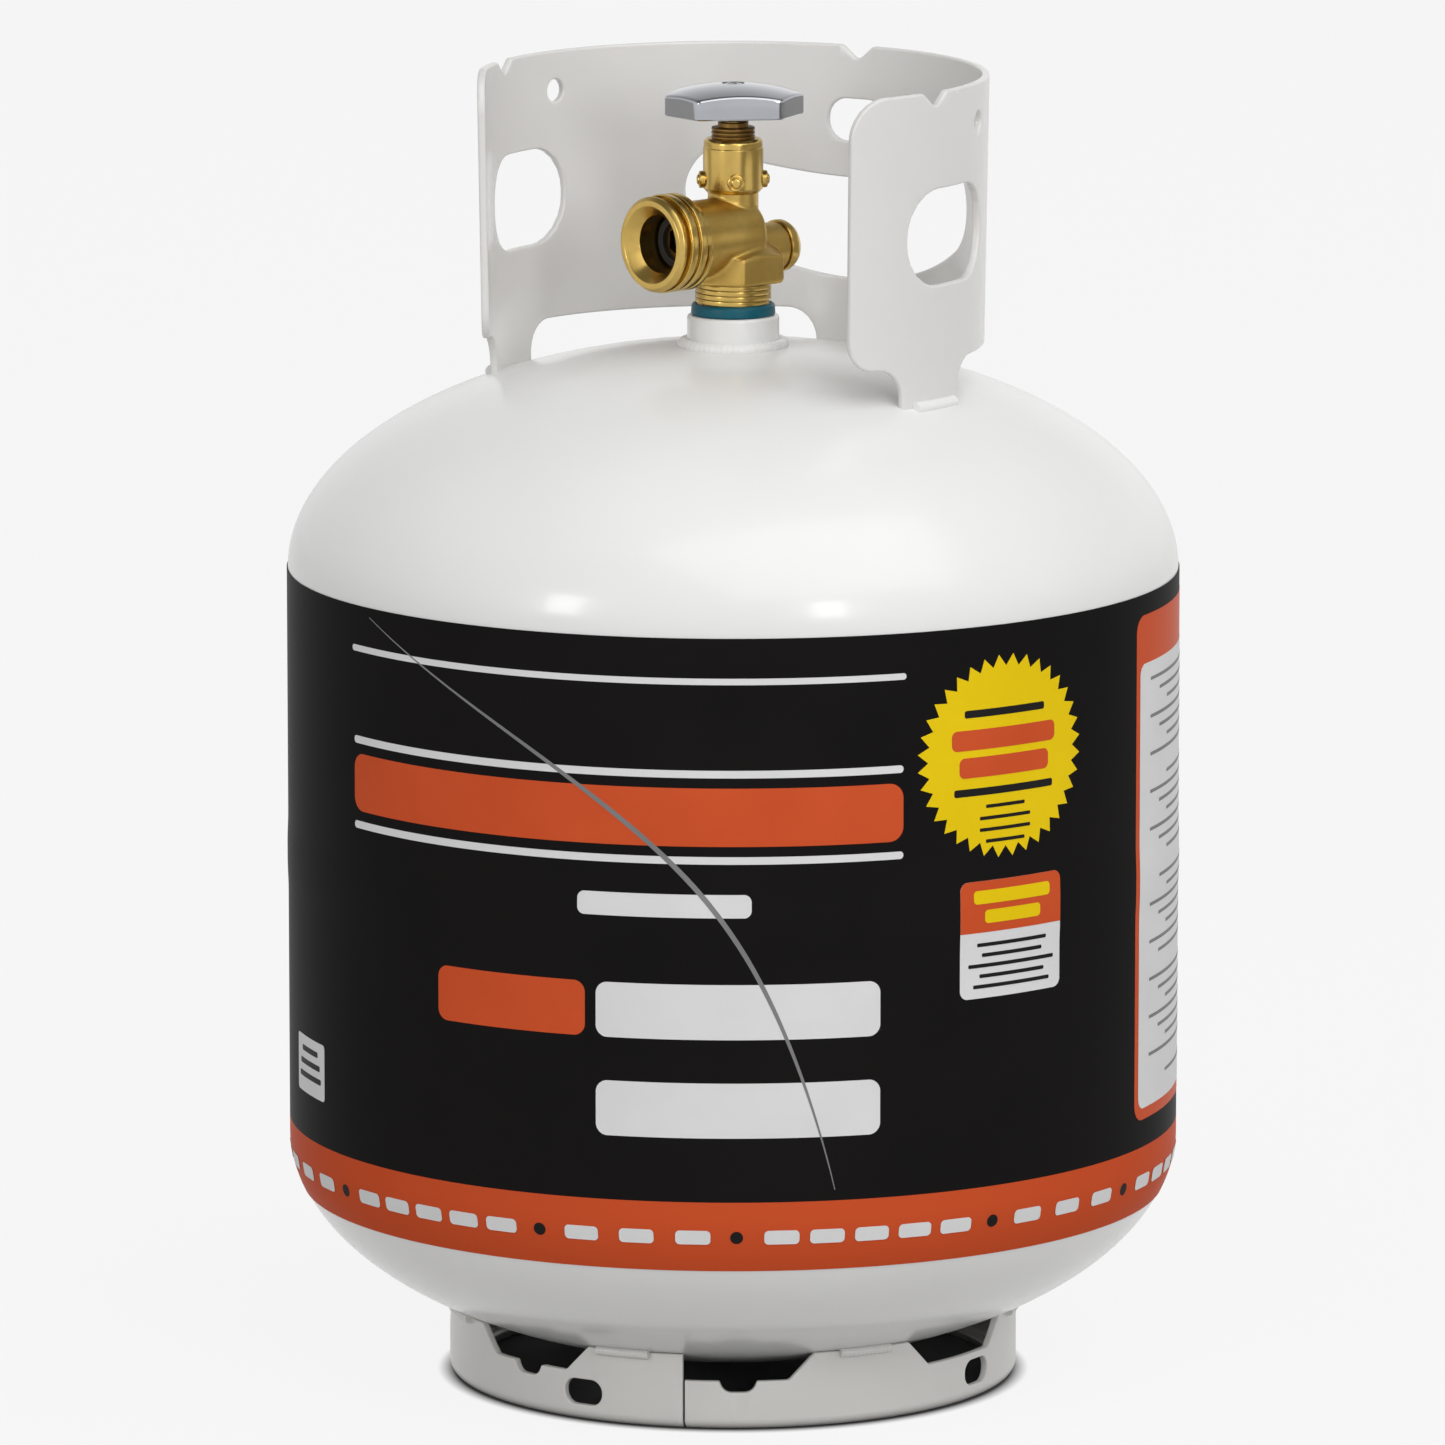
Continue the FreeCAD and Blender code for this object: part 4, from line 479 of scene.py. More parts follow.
FOOT_BEAD = 1.7
foot_places = [bearing + WINDOW_PITCH / 2.0 for bearing in window_places[:-1]]
foot_places.append((window_places[-1] + window_places[0] + 360.0) / 2.0)
beads("foot_ring_weld_beads", ring_paint, "ring_paint", "foot_ring_welds", RING_R + 0.6,
      RING_TOP - 0.5, [place - 95.5 for place in foot_places], 11.0, FOOT_BEAD, 12.0)

# ==== COLLAR ====
# Sheet of 2.7 mm steel cut with feet, hand holes and notches, and rolled to stand round
# the valve as its guard and carrying handle. Its three feet are welded to the upper head.
COLLAR_TOP_R = 88.7
COLLAR_LEAN = 0.016
COLLAR_WALL = 2.7
COLLAR_LOW = 364.5
COLLAR_TOP = 458.5
COLLAR_MIDDLE = 149.5
COLLAR_HALF = 122.5
ROLL_R = 88.0
FOOT_BOTTOM = 349.4
GRIP_EDGE = 0.75
FEET_AT = (-97.5, 0.0, 97.5)
NOTCHES_AT = (98.0, 0.0, -98.0)
HAND_HOLE = (49.0, 33.5, 15.5)


def collar_r(height):
    return COLLAR_TOP_R - COLLAR_LEAN * (COLLAR_TOP - height)


def collar_bend(x, y, depth):
    return at(collar_r(y) - depth, COLLAR_MIDDLE + degrees(x / ROLL_R), y)


def collar_x(offset):
    return ROLL_R * radians(offset)


def straight_x(side):
    """Place along the sheet of a point that lies so far to the side of the collar's middle."""
    return ROLL_R * asin(side / ROLL_R)


def bow(first, middle, last, steps=24):
    """Points on the circle through three points, the last one left out."""
    a, b, c = complex(*first), complex(*middle), complex(*last)
    slant = (c - a) / (b - a)
    centre = a + (b - a) * (slant - abs(slant) ** 2) / (2j * slant.imag)
    via, turn = [phase((point - centre) / (a - centre)) % (2.0 * pi) for point in (b, c)]
    if via > turn:
        turn -= 2.0 * pi
    points = [centre + (a - centre) * rect(1.0, turn * i / steps) for i in range(steps)]
    return [(point.real, point.imag) for point in points]


collar_end = collar_x(COLLAR_HALF)
collar_outline = [(-collar_end, COLLAR_LOW, 10.0)]
foot_half = degrees(15.5 / collar_r(COLLAR_LOW))
for offset in FEET_AT:
    left, right = collar_x(offset - foot_half), collar_x(offset + foot_half)
    collar_outline += [(left, COLLAR_LOW, 11.0), (left, FOOT_BOTTOM, 1.0),
                       (right, FOOT_BOTTOM, 1.0), (right, COLLAR_LOW, 11.0)]
collar_outline += [(collar_end, COLLAR_LOW, 10.0), (collar_end, COLLAR_TOP, 14.5)]
for offset in NOTCHES_AT:
    notch = collar_x(offset)
    collar_outline += [(notch + 6.4, COLLAR_TOP, 2.2), (notch, COLLAR_TOP - 5.4, 2.6),
                       (notch - 6.4, COLLAR_TOP, 2.2)]
collar_outline.append((-collar_end, COLLAR_TOP, 14.5))

SMILE_TOP = ((-52.3, 420.0), (0.0, 411.6), (52.3, 420.0))
SMILE_LOW = ((50.5, 391.0), (0.0, 376.0), (-50.5, 391.0))
smile = bow(*SMILE_TOP, 40) + bow(SMILE_TOP[2], (58.6, 406.5), SMILE_LOW[0])
smile += bow(*SMILE_LOW, 40) + bow(SMILE_LOW[2], (-58.6, 406.5), SMILE_TOP[0])
collar_holes = [[(straight_x(side), height) for side, height in smile]]
for offset in (-90.5, 90.5):
    hand_hole = round_window(0.0, 408.2, *HAND_HOLE)
    collar_holes.append([(collar_x(offset) + straight_x(side), height) for side, height in hand_hole])
for offset in (-77.0, 77.0):
    collar_holes.append(round_window(collar_x(offset), 444.5, 8.0, 8.0, 3.99))
collar_holes.append(round_window(0.0, 432.0, 23.0, 15.0, 7.0))
collar_shape = sheet(rounded(collar_outline, 8), collar_holes, COLLAR_WALL, GRIP_EDGE, collar_bend,
                     1.2, [377.0, 390.0, 403.0, 416.0, 429.0, 442.0])

LIP_REACH = 9.5
LIP_FILLET = 3.0
lip_section = rounded([(-1.3, 0.1), (LIP_REACH, 0.1, 1.25), (LIP_REACH, COLLAR_WALL, 1.25),
                       (0.0, COLLAR_WALL, LIP_FILLET), (0.0, COLLAR_WALL + LIP_FILLET + 0.2),
                       (-1.3, COLLAR_WALL + LIP_FILLET + 0.2)])
lip_path = bow(*SMILE_TOP, 60) + [SMILE_TOP[-1]]
lip_rows = []
for i, (side, height) in enumerate(lip_path):
    reach = (1.0 - abs(2.0 * i / 60.0 - 1.0) ** 8) ** 0.5
    bearing = COLLAR_MIDDLE + degrees(straight_x(side) / ROLL_R)
    row = [at(collar_r(height + up) + (out if out <= 0.0 else max(0.02, out * reach)), bearing,
              height + up) for out, up in lip_section]
    lip_rows.append([collar_shape.verts.new(Vector(point) * MM) for point in row])
bridge(collar_shape, lip_rows)
collar_shape.faces.new(lip_rows[0])
collar_shape.faces.new(lip_rows[-1])
collar = make_piece("collar_sheet", collar_shape, 40.0)
# Painted shade: the collar carries the tank's white paint, and this copy of it is made darker to stand in
# for the shade on the collar.
collar_paint = finish("collar_paint", (0.70, 0.69, 0.675), (0.74, 0.73, 0.715), 0.26,
                      patches=12.0, grain=250.0, depth=0.014, spread=0.04, coat=0.25)
fit(collar, collar_paint, "tank", "shell_paint", "collar")

COLLAR_BEAD = 2.3
bead_r = collar_r(FOOT_BOTTOM) + 1.0
beads("collar_weld_beads", white_paint, "shell_paint", "collar_welds", bead_r, head_z(bead_r) + 0.4,
      [COLLAR_MIDDLE + offset - 97.0 for offset in FEET_AT], 14.0, COLLAR_BEAD, 16.0)

# ==== LABEL SLEEVE ====
# Printed plastic film shrunk round the tank by heat, over the girth weld and on to the
# lower shoulder. It is printed black, with an orange band round its foot.
FILM_GAP = 0.1
FILM = 0.25
FILM_LOW = 67.5
FILM_TOP = 286.2
BAND_TOP = 92.3
BAND_ORANGE = (0.60, 0.085, 0.026)
SWELL_HALF = 14.0


def film_r(height, grow_by=FILM_GAP + FILM):
    """Radius of the film's outer face at a height."""
    radius = TANK_R + grow_by
    if height < LOWER_TANGENT:
        return radius * sqrt(1.0 - ((LOWER_TANGENT - height) / (HEAD_DEPTH + grow_by)) ** 2)
    away = abs(height - SEAM_HEIGHT)
    if away < SWELL_HALF:
        radius += SWELL * (0.5 + 0.5 * cos(pi * max(0.0, away - 2.4) / (SWELL_HALF - 2.4)))
    return radius


film_heights = [FILM_LOW + (LOWER_TANGENT - FILM_LOW) * i / 20.0 for i in range(21)]
film_heights += [SEAM_HEIGHT + 1.4 * i for i in range(-10, 11)] + [FILM_TOP]
film = [(film_r(z), z) for z in film_heights]
film += [(film_r(z, FILM_GAP), z) for z in reversed(film_heights)]
sleeve = turned("label_film", film, 256)

film_black = finish("sleeve_film_black", (0.0098, 0.0090, 0.0090), (0.0118, 0.0108, 0.0106), 0.4,
                    patches=14.0, grain=90.0, depth=0.02, spread=0.05, specular=0.01)
tree = film_black.node_tree
place = add(tree, "TexCoord", output="Object")
above = maths(tree, "GREATER_THAN", add(tree, "SeparateXYZ", {0: place}, "Z"), BAND_TOP * MM)
black = tree.nodes["Color Ramp"].outputs["Color"]
band = add(tree, "Mix", {0: above, 6: (*BAND_ORANGE, 1.0), 7: black}, 2, data_type="RGBA")
wire(tree, tree.nodes["Principled BSDF"], {"Base Color": band})
fit(sleeve, film_black, "tank", "sleeve_film", "label_sleeve")

# ==== PRINTING ON THE SLEEVE ====
# Flat areas of ink on the film: plain bars and stripes, a toothed disc, a two-tone tag, a
# ruled panel and a small box. None of them carries words, numbers or signs.
FILM_R = TANK_R + FILM_GAP + FILM
INK = 0.05
INK_STEP = 0.07


def ink(name, colour, tint):
    return finish(name, colour, tint, 0.34, patches=40.0, grain=120.0, depth=0.01, spread=0.04,
                  specular=0.02)


orange_ink = ink("sleeve_ink_orange", BAND_ORANGE, (0.64, 0.095, 0.030))
white_ink = ink("sleeve_ink_white", (0.72, 0.72, 0.72), (0.76, 0.76, 0.76))
yellow_ink = ink("sleeve_ink_yellow", (0.82, 0.58, 0.008), (0.86, 0.61, 0.010))
dark_ink = ink("sleeve_ink_dark", (0.016, 0.015, 0.015), (0.020, 0.018, 0.018))
grey_ink = ink("sleeve_ink_grey", (0.20, 0.20, 0.20), (0.24, 0.24, 0.24))


def film_x(bearing):
    return FILM_R * radians(bearing)


def bar(bearing, height, width, tall, corner=None):
    """Upright rounded bar of ink centred on a bearing and a height."""
    corner = min(width, tall) * 0.3 if corner is None else corner
    return round_window(film_x(bearing), height, width, tall, corner)


def gathered(shapes):
    """One bmesh from several."""
    whole = bmesh.new()
    for shape in shapes:
        scratch = bpy.data.meshes.new("scratch")
        shape.to_mesh(scratch)
        shape.free()
        whole.from_mesh(scratch)
        bpy.data.meshes.remove(scratch)
    return whole


def printed(name, outlines, material, layer):
    """One piece of ink from several outlines, laid on the film at a layer from 1 up."""
    def bend(x, y, depth):
        return at(film_r(y) + 0.02 + INK_STEP * (layer - 1) + INK - depth, degrees(x / FILM_R), y)

    patches = []
    for outline in outlines:
        low, high = min(p[1] for p in outline), max(p[1] for p in outline)
        levels = [SEAM_HEIGHT + 1.75 * i for i in range(-9, 10)]
        patches.append(sheet(outline, [], INK, 0.0, bend, 4.0, [z for z in levels if low < z < high]))
    fit(make_piece(name, gathered(patches)), material, "tank", "sleeve_film")


STAR_AT, STAR_HEIGHT, STAR_TEETH = 36.5, 241.0, 36
star_spots = [((31.0, 35.0)[i % 2], pi * i / STAR_TEETH) for i in range(2 * STAR_TEETH)]
star = [(film_x(STAR_AT) + reach * sin(turn), STAR_HEIGHT + reach * cos(turn))
        for reach, turn in star_spots]
printed("print_toothed_disc", [star], yellow_ink, 1)

TAG_AT, TAG_HEIGHT = 37.7, 178.3
PANEL_AT, PANEL_WIDE = 94.0, film_x(62.0)
BOX_AT, BOX_HEIGHT = -70.8, 118.0
tag_left, tag_right = film_x(TAG_AT) - 21.8, film_x(TAG_AT) + 21.8
tag_header = rounded([(tag_left, 180.8), (tag_right, 180.8), (tag_right, 198.55, 3.0),
                      (tag_left, 198.55, 3.0)])
printed("print_panel_frame", [bar(PANEL_AT, 190.5, PANEL_WIDE, 177.0, 6.0)], orange_ink, 1)
printed("print_light_areas", [bar(PANEL_AT, 184.0, PANEL_WIDE - 6.0, 156.0, 4.0)], white_ink, 2)
printed("print_tag_and_box", [bar(TAG_AT, TAG_HEIGHT, 43.6, 40.5, 3.0),
                              bar(BOX_AT, BOX_HEIGHT, 29.5, 20.0, 1.5)], white_ink, 1)
printed("print_orange_marks", [
    tag_header, bar(STAR_AT, 247.5, 44.0, 7.0), bar(STAR_AT, 238.0, 38.0, 7.0)], orange_ink, 2)
printed("print_yellow_marks", [bar(TAG_AT, 193.0, 33.0, 4.6), bar(TAG_AT, 186.2, 24.0, 4.6)],
        yellow_ink, 3)
dark_marks = [bar(STAR_AT, 256.5, 34.0, 2.6), bar(STAR_AT, 229.5, 42.0, 2.6)]
dark_marks += [bar(STAR_AT, 224.2 - 4.0 * i, 24.0 - 5.0 * abs(i - 1.5), 1.2) for i in range(4)]
dark_marks += [bar(TAG_AT, 176.5 - 3.6 * i, (30.0, 26.0, 37.0, 28.0, 33.0)[i], 1.3) for i in range(5)]
dark_marks += [bar(BOX_AT, 123.5 - 4.6 * i, (17.0, 21.0, 23.0)[i], 2.0) for i in range(3)]
printed("print_dark_marks", dark_marks, dark_ink, 2)
rules = [bar(PANEL_AT, 256.0 - 4.4 * i, film_x(53.0 - 7.0 * (i % 3)), 1.2)
         for i in range(33) if i % 8 != 7]
printed("print_panel_rules", rules, grey_ink, 3)

printed("print_orange_bars", [bar(-17.4, 225.0, 212.0, 20.0, 5.0),
                              bar(-29.6, 158.0, 58.0, 19.0, 4.0)], orange_ink, 1)
printed("print_white_bars", [bar(-17.4, 271.5, 214.0, 2.2, 1.0), bar(-17.4, 210.2, 212.0, 2.6, 1.2),
                             bar(-17.4, 239.8, 212.0, 2.6, 1.2), bar(-8.8, 194.5, 60.0, 8.0, 2.5),
                             bar(0.6, 158.0, 98.0, 19.0, 4.0), bar(0.6, 124.0, 98.0, 19.0, 4.0)],
        white_ink, 1)

STREAK = ((-143.7, 283.0), (-101.4, 262.9), (-59.7, 241.0), (-10.8, 203.5), (16.0, 158.9),
          (29.6, 117.5), (34.7, 96.0))
streak_line = bpy.data.curves.new("streak_line", "CURVE")
streak_run = streak_line.splines.new("NURBS")
streak_run.points.add(len(STREAK) - 1)
for spot, (x, y) in zip(streak_run.points, STREAK):
    spot.co = (x, y, 0.0, 1.0)
streak_run.order_u = 4
streak_run.use_endpoint_u = True
streak_holder = placed("streak_line", streak_line)
streak_path = [vert.co.to_2d() for vert in evaluated(streak_holder).vertices]
bpy.data.objects.remove(streak_holder)
left_side, right_side = [], []
for i, spot in enumerate(streak_path):
    ahead = streak_path[min(i + 1, len(streak_path) - 1)] - streak_path[max(i - 1, 0)]
    half = 0.15 + 0.75 * sin(pi * i / (len(streak_path) - 1))
    side = Vector((-ahead.y, ahead.x)).normalized() * half
    left_side.append(tuple(spot + side))
    right_side.append(tuple(spot - side))
printed("print_streak", [right_side + left_side[::-1]], grey_ink, 2)


def mark_tree(name, material):
    """Geometry Nodes: thin rounded marks set evenly round the band, facing outwards."""
    tree, given = new_tree(name, ("Count", "Start", "Step", "Radius", "Height", "Tilt", "Width",
                                  "Tall", "Corner", "Thickness"))
    row = add(tree, "MeshLine", {"Count": given["Count"]})
    turn = maths(tree, "MULTIPLY_ADD", add(tree, "InputIndex"), given["Step"], given["Start"])
    back = maths(tree, "MULTIPLY", given["Radius"], -1.0)
    out = add(tree, "ShaderNodeCombineXYZ", {"Y": back, "Z": given["Height"]})
    spin = add(tree, "ShaderNodeVectorRotate", {"Vector": out, "Angle": turn}, rotation_type="Z_AXIS")
    spots = add(tree, "SetPosition", {"Geometry": row, "Position": spin})
    outline = add(tree, "CurvePrimitiveQuadrilateral", {
        "Width": given["Width"], "Height": given["Tall"]})
    ease = add(tree, "FilletCurve", {
        "Curve": outline, "Radius": given["Corner"], "Count": 6}, mode="POLY")
    top = add(tree, "ShaderNodeCombineXYZ", {"Z": given["Thickness"]})
    through = add(tree, "CurvePrimitiveLine", {"End": top})
    mark = swept(tree, through, ease, 1.0)
    angles = add(tree, "ShaderNodeCombineXYZ", {"X": given["Tilt"], "Z": turn})
    facing = add(tree, "FunctionNodeEulerToRotation", {0: angles})
    put = add(tree, "InstanceOnPoints", {
        "Points": spots, "Instance": mark, "Rotation": facing})
    return end_tree(tree, put, material)


BAND_MARKS = 80.0
BAND_TILT = radians(99.6)
DOT_STARTS = (0.4, 34.8)


def band_marks(name, material, rows, wide, tall, corner):
    """One piece of marks on the band, from rows of (count, first bearing, pitch)."""
    tree = mark_tree(name, material)
    grown = [grow(tree, Count=count, Start=radians(start), Step=radians(pitch),
                  Radius=film_r(BAND_MARKS) * MM, Height=BAND_MARKS * MM, Tilt=BAND_TILT,
                  Width=wide * MM, Tall=tall * MM, Corner=corner * MM, Thickness=0.1 * MM)
             for count, start, pitch in rows]
    fit(joined(name, grown), material, "tank", "sleeve_film")


band_marks("print_band_dots", dark_ink, [(6, start, 60.0) for start in DOT_STARTS], 4.4, 4.4, 2.19)
dash_rows = []
for i in range(6):
    dash_rows.append((5, DOT_STARTS[0] + 60.0 * i + 5.7, 5.8))
    dash_rows.append((3, DOT_STARTS[1] + 60.0 * i + 5.7, 7.2))
band_marks("print_band_dashes", white_ink, dash_rows, 12.0, 5.0, 1.5)

# ==== THREAD SEALANT ====
# Blue-green sealing paste cured as a band where the valve enters the neck boss.
SEALANT_TOP = 378.2
sealant_paint = finish("thread_sealant", (0.0, 0.085, 0.125), (0.0, 0.105, 0.15), 0.42,
                       patches=180.0, grain=600.0, depth=0.12, spread=0.08, specular=0.3)
sealant = turned("thread_sealant_band", [(13.1, BOSS_TOP), (14.7, BOSS_TOP, 0.8),
                                         (14.4, SEALANT_TOP, 1.3), (13.1, SEALANT_TOP)], around=128)
fit(sealant, sealant_paint, "tank", "sealant", "thread_sealant")

# ==== VALVE BODY ====
# Hot forged brass, left as forged outside and machined at its ports. Its hexagon takes
# the wrench that screws it into the boss; the big outlet points forward to the left.
OUTLET, RELIEF, VENT = (-48.0, 401.7), (132.0, 396.0), (-138.0, 391.0)
HEX_LOW, HEX_TOP, SHOULDER_TOP = 385.6, 395.0, 401.0
HEX_CORNER = 32.0 / sqrt(3.0)
FORGING_GRID = 0.5

forged_brass = finish("forged_brass", (0.60, 0.405, 0.115), (0.47, 0.305, 0.075), 0.36, metallic=1.0,
                      patches=90.0, grain=1100.0, depth=0.05, spread=0.09)
machined_brass = finish("machined_brass", (0.62, 0.43, 0.125), (0.52, 0.35, 0.095), 0.25, metallic=1.0,
                        patches=120.0, grain=700.0, depth=0.015, spread=0.07)


def port_place(bearing, height):
    """Matrix that lays a piece turned about Z on to a level axis at a bearing."""
    return (Matrix.Translation((0.0, 0.0, height * MM)) @ Matrix.Rotation(radians(bearing), 4, "Z")
            @ Matrix.Rotation(pi / 2.0, 4, "X"))


def port_shape(corners, bearing, height, around=96):
    shape = turned_shape(corners, around)
    bmesh.ops.transform(shape, matrix=port_place(bearing, height), verts=shape.verts)
    return shape


def port_turned(name, corners, bearing, height, around=128):
    return make_piece(name, port_shape(corners, bearing, height, around))


def ringed_shape(rows, looped=False):
    """bmesh of a solid from level rings of points in mm, closed at both ends or looped."""
    shape = bmesh.new()
    rings = [[shape.verts.new(Vector(point) * MM) for point in row] for row in rows]
    bridge(shape, rings + rings[:1] if looped else rings)
    if not looped:
        shape.faces.new(rings[0])
        shape.faces.new(rings[-1])
    return shape


HEX_FLAT = 16.0
hex_reach = [(2.5 * i, HEX_FLAT / cos(radians((2.5 * i - OUTLET[0]) % 60.0 - 30.0)))
             for i in range(144)]
hex_rows = []
for step in range(32):
    z = HEX_LOW + (SHOULDER_TOP - HEX_LOW) * step / 31.0
    if z < HEX_LOW + 1.0:
        limit = HEX_CORNER - 0.9 + (z - HEX_LOW)
    elif z < HEX_TOP:
        limit = HEX_CORNER + 0.1
    else:
        limit = HEX_CORNER - (HEX_CORNER - 9.4) * ((z - HEX_TOP) / (SHOULDER_TOP - HEX_TOP)) ** 0.8
    hex_rows.append([at(min(limit, reach), bearing, z) for bearing, reach in hex_reach])

blocks = [
    ringed_shape(hex_rows),
    turned_shape([(0.0, 350.0), (12.6, 350.0, 0.8), (12.95, 377.9), (12.2, 378.1), (12.2, 386.5),
                  (0.0, 386.5)], 128),
    turned_shape([(0.0, 386.0), (8.8, 386.0), (8.8, 417.6), (0.0, 417.6)], 96),
    port_shape([(0.0, -6.0), (13.5, -6.0, 4.0), (13.5, 22.9), (0.0, 22.9)], *OUTLET),
    port_shape([(0.0, 0.0), (8.5, 0.0), (8.5, 19.85), (0.0, 19.85)], *RELIEF),
    port_shape([(0.0, 0.0), (4.6, 0.0), (4.6, 20.5, 0.5), (0.0, 20.5)], *VENT),
]


def cut_away(piece, shapes, sharp):
    """Cut closed shapes out of a piece one by one, then shade it."""
    for shape in shapes:
        cutter = plain("cutter", closed(shape))
        cut = piece.modifiers.new("cut", "BOOLEAN")
        cut.operation = "DIFFERENCE"
        cut.solver = "MANIFOLD"
        cut.object = cutter
        piece.data = evaluated(piece)
        piece.modifiers.clear()
        bpy.data.objects.remove(cutter)
    shaded(piece, sharp)


valve = plain("valve_forging", gathered([closed(block) for block in blocks]))
skin = valve.modifiers.new("skin", "REMESH")
skin.mode = "VOXEL"
skin.voxel_size = FORGING_GRID * MM
ease = valve.modifiers.new("ease", "SMOOTH")
ease.factor = 0.5
ease.iterations = 6
valve.data = evaluated(valve)
valve.modifiers.clear()
bores = [
    turned_shape([(0.0, 395.9), (7.1, 395.9), (7.1, 418.5), (0.0, 418.5)], 64),
    turned_shape([(0.0, 349.0), (5.5, 349.0), (5.5, 393.0), (3.5, 393.0), (3.5, 396.5), (0.0, 396.5)], 64),
    port_shape([(0.0, 0.0), (4.8, 0.0), (4.8, 13.0), (9.35, 13.0), (9.35, 24.0), (0.0, 24.0)], *OUTLET),
    port_shape([(0.0, 9.0), (3.0, 9.0), (3.0, 13.0), (6.05, 13.0), (6.05, 21.0), (0.0, 21.0)], *RELIEF),
    port_shape([(0.0, 12.5), (2.05, 12.5), (2.05, 21.5), (0.0, 21.5)], *VENT, 32),
]
cut_away(valve, bores, 40.0)
fit(valve, forged_brass, "tank", "forged_brass", "valve_body")


def thread_tree(material):
    """Geometry Nodes: the ridge of a screw thread, wound round Z and run out at both ends."""
    tree, given = new_tree("screw_thread", (
        "Root Radius", "Depth", "Length", "Turns", "Crest Width", "Root Width"))
    middle = maths(tree, "MULTIPLY_ADD", given["Depth"], 0.42, given["Root Radius"])
    path = add(tree, "CurveSpiral", {
        "Resolution": 96, "Rotations": given["Turns"], "Start Radius": middle,
        "End Radius": middle, "Height": given["Length"]})
    upright = add(tree, "SetCurveNormal", {"Curve": path}, mode="Z_UP")
    away = maths(tree, "PINGPONG", add(tree, "SplineParameter"), 0.5)
    section = add(tree, "CurvePrimitiveQuadrilateral", {
        "Height": given["Depth"], "Bottom Width": given["Root Width"],
        "Top Width": given["Crest Width"], "Offset": 0.0}, mode="TRAPEZOID")
    outward = add(tree, "Transform", {
        "Geometry": section, "Rotation": (0.0, 0.0, -pi / 2.0)})
    corner = maths(tree, "MULTIPLY", given["Crest Width"], 0.2)
    ease = add(tree, "FilletCurve", {
        "Curve": outward, "Radius": corner, "Count": 3}, mode="POLY")
    fade = remap(tree, away, 0.25, 1.0, 0.0, 0.06)
    return end_tree(tree, swept(tree, upright, ease, fade), material)


thread = thread_tree(machined_brass)
inlet_ridge = grow(thread, Root_Radius=12.15 * MM, Depth=1.15 * MM, Length=6.6 * MM, Turns=3.65,
                   Crest_Width=0.55 * MM, Root_Width=1.7 * MM)
inlet_ridge.data.transform(Matrix.Translation((0.0, 0.0, 378.6 * MM)))
fit(joined("inlet_thread", [inlet_ridge]), machined_brass, "tank", "forged_brass")

outlet_ridge = grow(thread, Root_Radius=14.9 * MM, Depth=2.3 * MM, Length=11.4 * MM, Turns=2.7,
                    Crest_Width=1.75 * MM, Root_Width=3.3 * MM)
outlet_ridge.data.transform(port_place(*OUTLET) @ Matrix.Translation((0, 0, 24.0 * MM)))
outlet_nose = port_turned("outlet_nose", [
    (10.0, 22.7), (15.0, 22.7, 0.5), (15.0, 35.5, 0.3), (16.6, 36.2, 0.5), (16.6, 37.2, 1.0),
    (15.3, 38.6, 0.7), (13.5, 38.6, 0.6), (10.0, 34.5, 0.5)], *OUTLET, 160)
fit(joined("outlet_thread", [outlet_ridge, outlet_nose]), machined_brass, "tank", "forged_brass")

# ==== BONNET AND GLAND ====
# Turned brass cap that holds the stem in the valve, crimped on by four round pins, with
# a grooved packing nut on top of it that has gone brown.
BONNET_LOW, BONNET_TOP, BONNET_R = 416.7, 435.7, 10.45
PIN_HEIGHT = 421.2
bonnet_parts = [turned("bonnet_cap", [
    (8.2, BONNET_LOW), (BONNET_R - 1.4, BONNET_LOW, 0.3), (BONNET_R, BONNET_LOW + 1.5, 0.8),
    (BONNET_R, BONNET_TOP - 3.4, 0.4), (BONNET_R - 0.25, BONNET_TOP - 3.1, 0.2),
    (BONNET_R - 0.25, BONNET_TOP, 1.7), (5.6, BONNET_TOP, 0.2), (5.6, BONNET_TOP - 2.65),
    (4.06, BONNET_TOP - 2.65), (4.06, 424.4), (8.2, 424.4)], around=160)]
for i, bearing in enumerate((5.0, 95.0, 185.0, 275.0)):
    bonnet_parts.append(port_turned(f"bonnet_pin_{i}", [
        (0.0, 9.0), (3.0, 9.0), (3.0, 11.7, 0.5), (2.35, 12.0, 0.25), (2.0, 11.2, 0.2),
        (1.7, 12.65, 0.8), (0.0, 12.65)], bearing, PIN_HEIGHT, 48))
fit(joined("bonnet_with_pins", bonnet_parts), machined_brass, "tank", "forged_brass", "bonnet")

GLAND_TOP, GLAND_NOSE = 439.5, 441.4
brown_brass = finish("aged_brass", (0.27, 0.16, 0.045), (0.18, 0.10, 0.028), 0.38, metallic=1.0,
                     patches=220.0, grain=900.0, depth=0.03, spread=0.1)
gland = turned("packing_nut", [
    (4.06, BONNET_TOP - 2.6), (5.5, BONNET_TOP - 2.6), (5.5, BONNET_TOP), (7.55, BONNET_TOP, 0.2),
    (7.55, BONNET_TOP + 0.8, 0.15), (6.9, BONNET_TOP + 1.15, 0.15), (7.55, BONNET_TOP + 1.5, 0.15),
    (7.55, BONNET_TOP + 2.2, 0.15), (6.9, BONNET_TOP + 2.55, 0.15), (7.55, BONNET_TOP + 2.9, 0.15),
    (7.55, GLAND_TOP, 0.4), (5.3, GLAND_TOP, 0.2), (5.3, GLAND_NOSE, 0.5), (4.06, GLAND_NOSE)],
    around=128)
fit(gland, brown_brass, "tank", "forged_brass", "gland_nut")

# ==== STEM, SEAT PLUG AND THEIR SEALS ====
# Turned brass stem whose flat tang turns the threaded plug that carries the rubber seat
# disc down on to its orifice. Two rubber rings seal the stem in the bonnet.
def dress(material, *names):
    """Give CAD pieces whose shape is right their finish."""
    for name in names:
        slots = frame["nodes"][name].data.materials
        slots.clear()
        slots.append(material)


